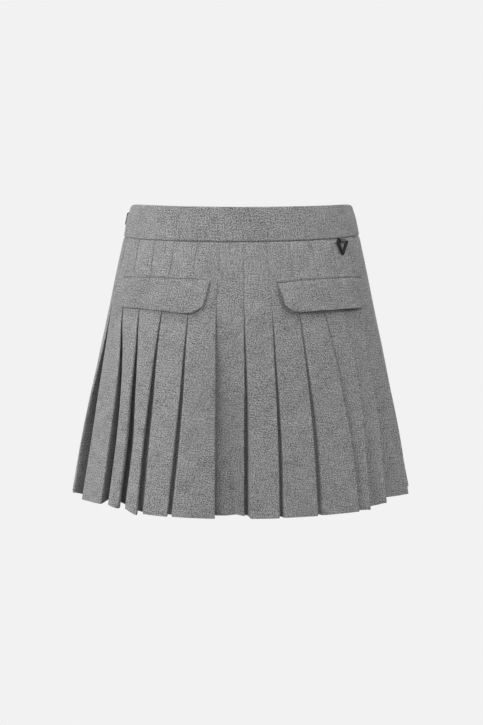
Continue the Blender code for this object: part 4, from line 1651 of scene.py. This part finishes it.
@dataclass
class ZipChain(SubAssembly):
    """The concealed zip's tape and coil, inside the side seam at the viewer's left."""

    @staticmethod
    def place(level: float, aside, out) -> np.ndarray:
        """Points beside the side seam.

        Args:
            level: their level, on the waistband or the pleated body.
            aside: their distances from the seam, along the cloth.
            out: their distances off the outline.

        Returns:
            The points.
        """
        outline = oval(round(level, 5))
        angle = outline.angle(np.asarray(aside) - 0.25 * outline.girth)
        height = hung_height(level, angle)
        if level > SEAM_HEIGHT:
            top, depth = waist_top(angle), WAIST_RISE - SEAM_HEIGHT
            height = top + (seam_height(angle) - top) * (WAIST_RISE - level) / depth
        return np.column_stack((outline.place(angle, out), height))

    def tape(self) -> None:
        """Builds the tape."""
        half = 0.5 * ZIP_TAPE_WIDTH
        across = across_places(ZIP_TAPE_WIDTH, ZIP_TAPE_HALF, ZIP_TAPE_COLUMNS)
        # Across the zip tape, scaled to the ring tape's width so that the tape's painted edge shade
        # also darkens the zip tape's edges.
        weave = across * TAPE_WIDTH / ZIP_TAPE_WIDTH
        edge = rounding(np.minimum(across, ZIP_TAPE_WIDTH - across), ZIP_TAPE_HALF)
        levels = np.linspace(ZIP_TAPE_TOP, ZIP_TAPE_BOTTOM, ZIP_TAPE_ROWS)
        skins, grain = ([], []), []
        for level in levels:
            inside = min(levels[0] - level, level - levels[-1])
            wall = edge * ZIP_TAPE_HALF * float(rounding(inside, MM))
            for skin, side in zip(skins, (1.0, -1.0)):
                skin.append(self.place(float(level), across - half, ZIP_TAPE_OUT + side * wall))
            grain.append(np.column_stack((np.full_like(across, -level), weave)))
        outer, inner = (np.stack(skin, 1) for skin in skins)
        piece = self.add(shell("zip_tape", outer, inner, np.stack(grain, 1), TAPE), TAPE.name)

    def build(self) -> None:
        """Builds the tape and the coil."""
        self.tape()
        bm = bmesh.new()
        for index, level in enumerate(np.arange(CHAIN_TOP, CHAIN_BOTTOM, -CHAIN_PITCH)):
            aside = TOOTH_ASIDE * (1.0 if index % 2 else -1.0)
            near, far, lower = (
                Vector(self.place(float(level) - down, [aside], [out])[0])
                for down, out in ((0.0, CHAIN_OUT), (0.0, 0.0), (MM, CHAIN_OUT))
            )
            up = (near - lower).normalized()
            outwards = (far - near - up * up.dot(far - near)).normalized()
            add_bead(bm, near, axes(outwards.cross(up), outwards, up), TOOTH, 2)
        self.add(add_piece("zip_coil", bm, METAL), METAL.name)


@dataclass
class Stage:
    """Floor, light and camera."""

    def build(self) -> None:
        """Builds the stage."""
        world = bpy.data.worlds.new("studio")
        world.use_nodes = True
        background = world.node_tree.nodes["Background"]
        background.inputs["Color"].default_value = (BACKDROP,) * 3 + (1.0,)
        background.inputs["Strength"].default_value = 1.0
        world.cycles_visibility.diffuse = False
        bpy.context.scene.world = world
        bpy.context.scene.view_settings.view_transform = "Standard"
        self.floor()
        for name, azimuth, elevation, size, power in LIGHTS:
            across, up = math.radians(azimuth), math.radians(elevation)
            x, y = math.sin(across) * math.cos(up), -math.cos(across) * math.cos(up)
            way = Vector((x, y, math.sin(up)))
            self.area(name, LIGHT_AIM + way * LIGHT_DISTANCE, size, power)
        self.camera()

    @staticmethod
    def floor() -> None:
        """Builds the pale floor, which gives its own even light and takes no shadow."""
        bm = bmesh.new()
        bmesh.ops.create_grid(bm, x_segments=8, y_segments=8, size=FLOOR_HALF)
        bm.transform(Matrix.Translation((0.0, 0.0, HEM_HEIGHT - FLOOR_BELOW_HEM)))
        mesh = bpy.data.meshes.new("floor")
        bm.to_mesh(mesh)
        bm.free()
        look = bpy.data.materials.new("floor_paper")
        look.use_nodes = True
        shader = look.node_tree.nodes["Principled BSDF"]
        shader.inputs["Base Color"].default_value = (0.0, 0.0, 0.0, 1.0)
        shader.inputs["Specular IOR Level"].default_value = 0.0
        shader.inputs["Emission Color"].default_value = (BACKDROP,) * 3 + (1.0,)
        shader.inputs["Emission Strength"].default_value = 1.0
        mesh.materials.append(look)
        floor = bpy.data.objects.new("floor", mesh)
        floor.visible_diffuse = False
        bpy.context.scene.collection.objects.link(floor)

    @staticmethod
    def area(name: str, place: Vector, size: float, power: float) -> None:
        """Adds a soft light that looks at the skirt.

        Args:
            name: its name.
            place: where it stands.
            size: its side.
            power: its power, watts.
        """
        light = bpy.data.lights.new(name, "AREA")
        light.size = size
        light.energy = power
        lamp = bpy.data.objects.new(name, light)
        lamp.location = place
        lamp.rotation_mode = "QUATERNION"
        lamp.rotation_quaternion = (LIGHT_AIM - place).to_track_quat("-Z", "Y")
        bpy.context.scene.collection.objects.link(lamp)

    @staticmethod
    def camera() -> None:
        """Adds the camera at the photograph's viewing angle."""
        data = bpy.data.cameras.new("camera")
        data.sensor_width = SENSOR
        data.lens = SENSOR * FOCAL_PIXELS / FRAME_HEIGHT
        camera = bpy.data.objects.new("camera", data)
        back = Vector((0.0, -math.cos(CAMERA_ELEVATION), math.sin(CAMERA_ELEVATION)))
        camera.location = Vector((0.0, 0.0, CAMERA_AIM)) + back * CAMERA_DISTANCE
        camera.rotation_mode = "QUATERNION"
        camera.rotation_quaternion = (-back).to_track_quat("-Z", "Y")
        bpy.context.scene.collection.objects.link(camera)
        bpy.context.scene.camera = camera


def main() -> None:
    """Dresses the skirt and sets up the stage."""
    logging.basicConfig(level=logging.INFO, format="%(message)s")
    PleatedBody().build()
    Waistband().build()
    flaps = [PocketFlap(hand=hand) for hand in Hand]
    for flap in flaps:
        flap.build()
    Sewing().build(flaps)
    TapeLoop().build()
    TriangularRing().build()
    ZipSlider().build()
    ZipPull().build()
    ZipChain().build()
    Stage().build()


if __name__ == "__main__":
    main()
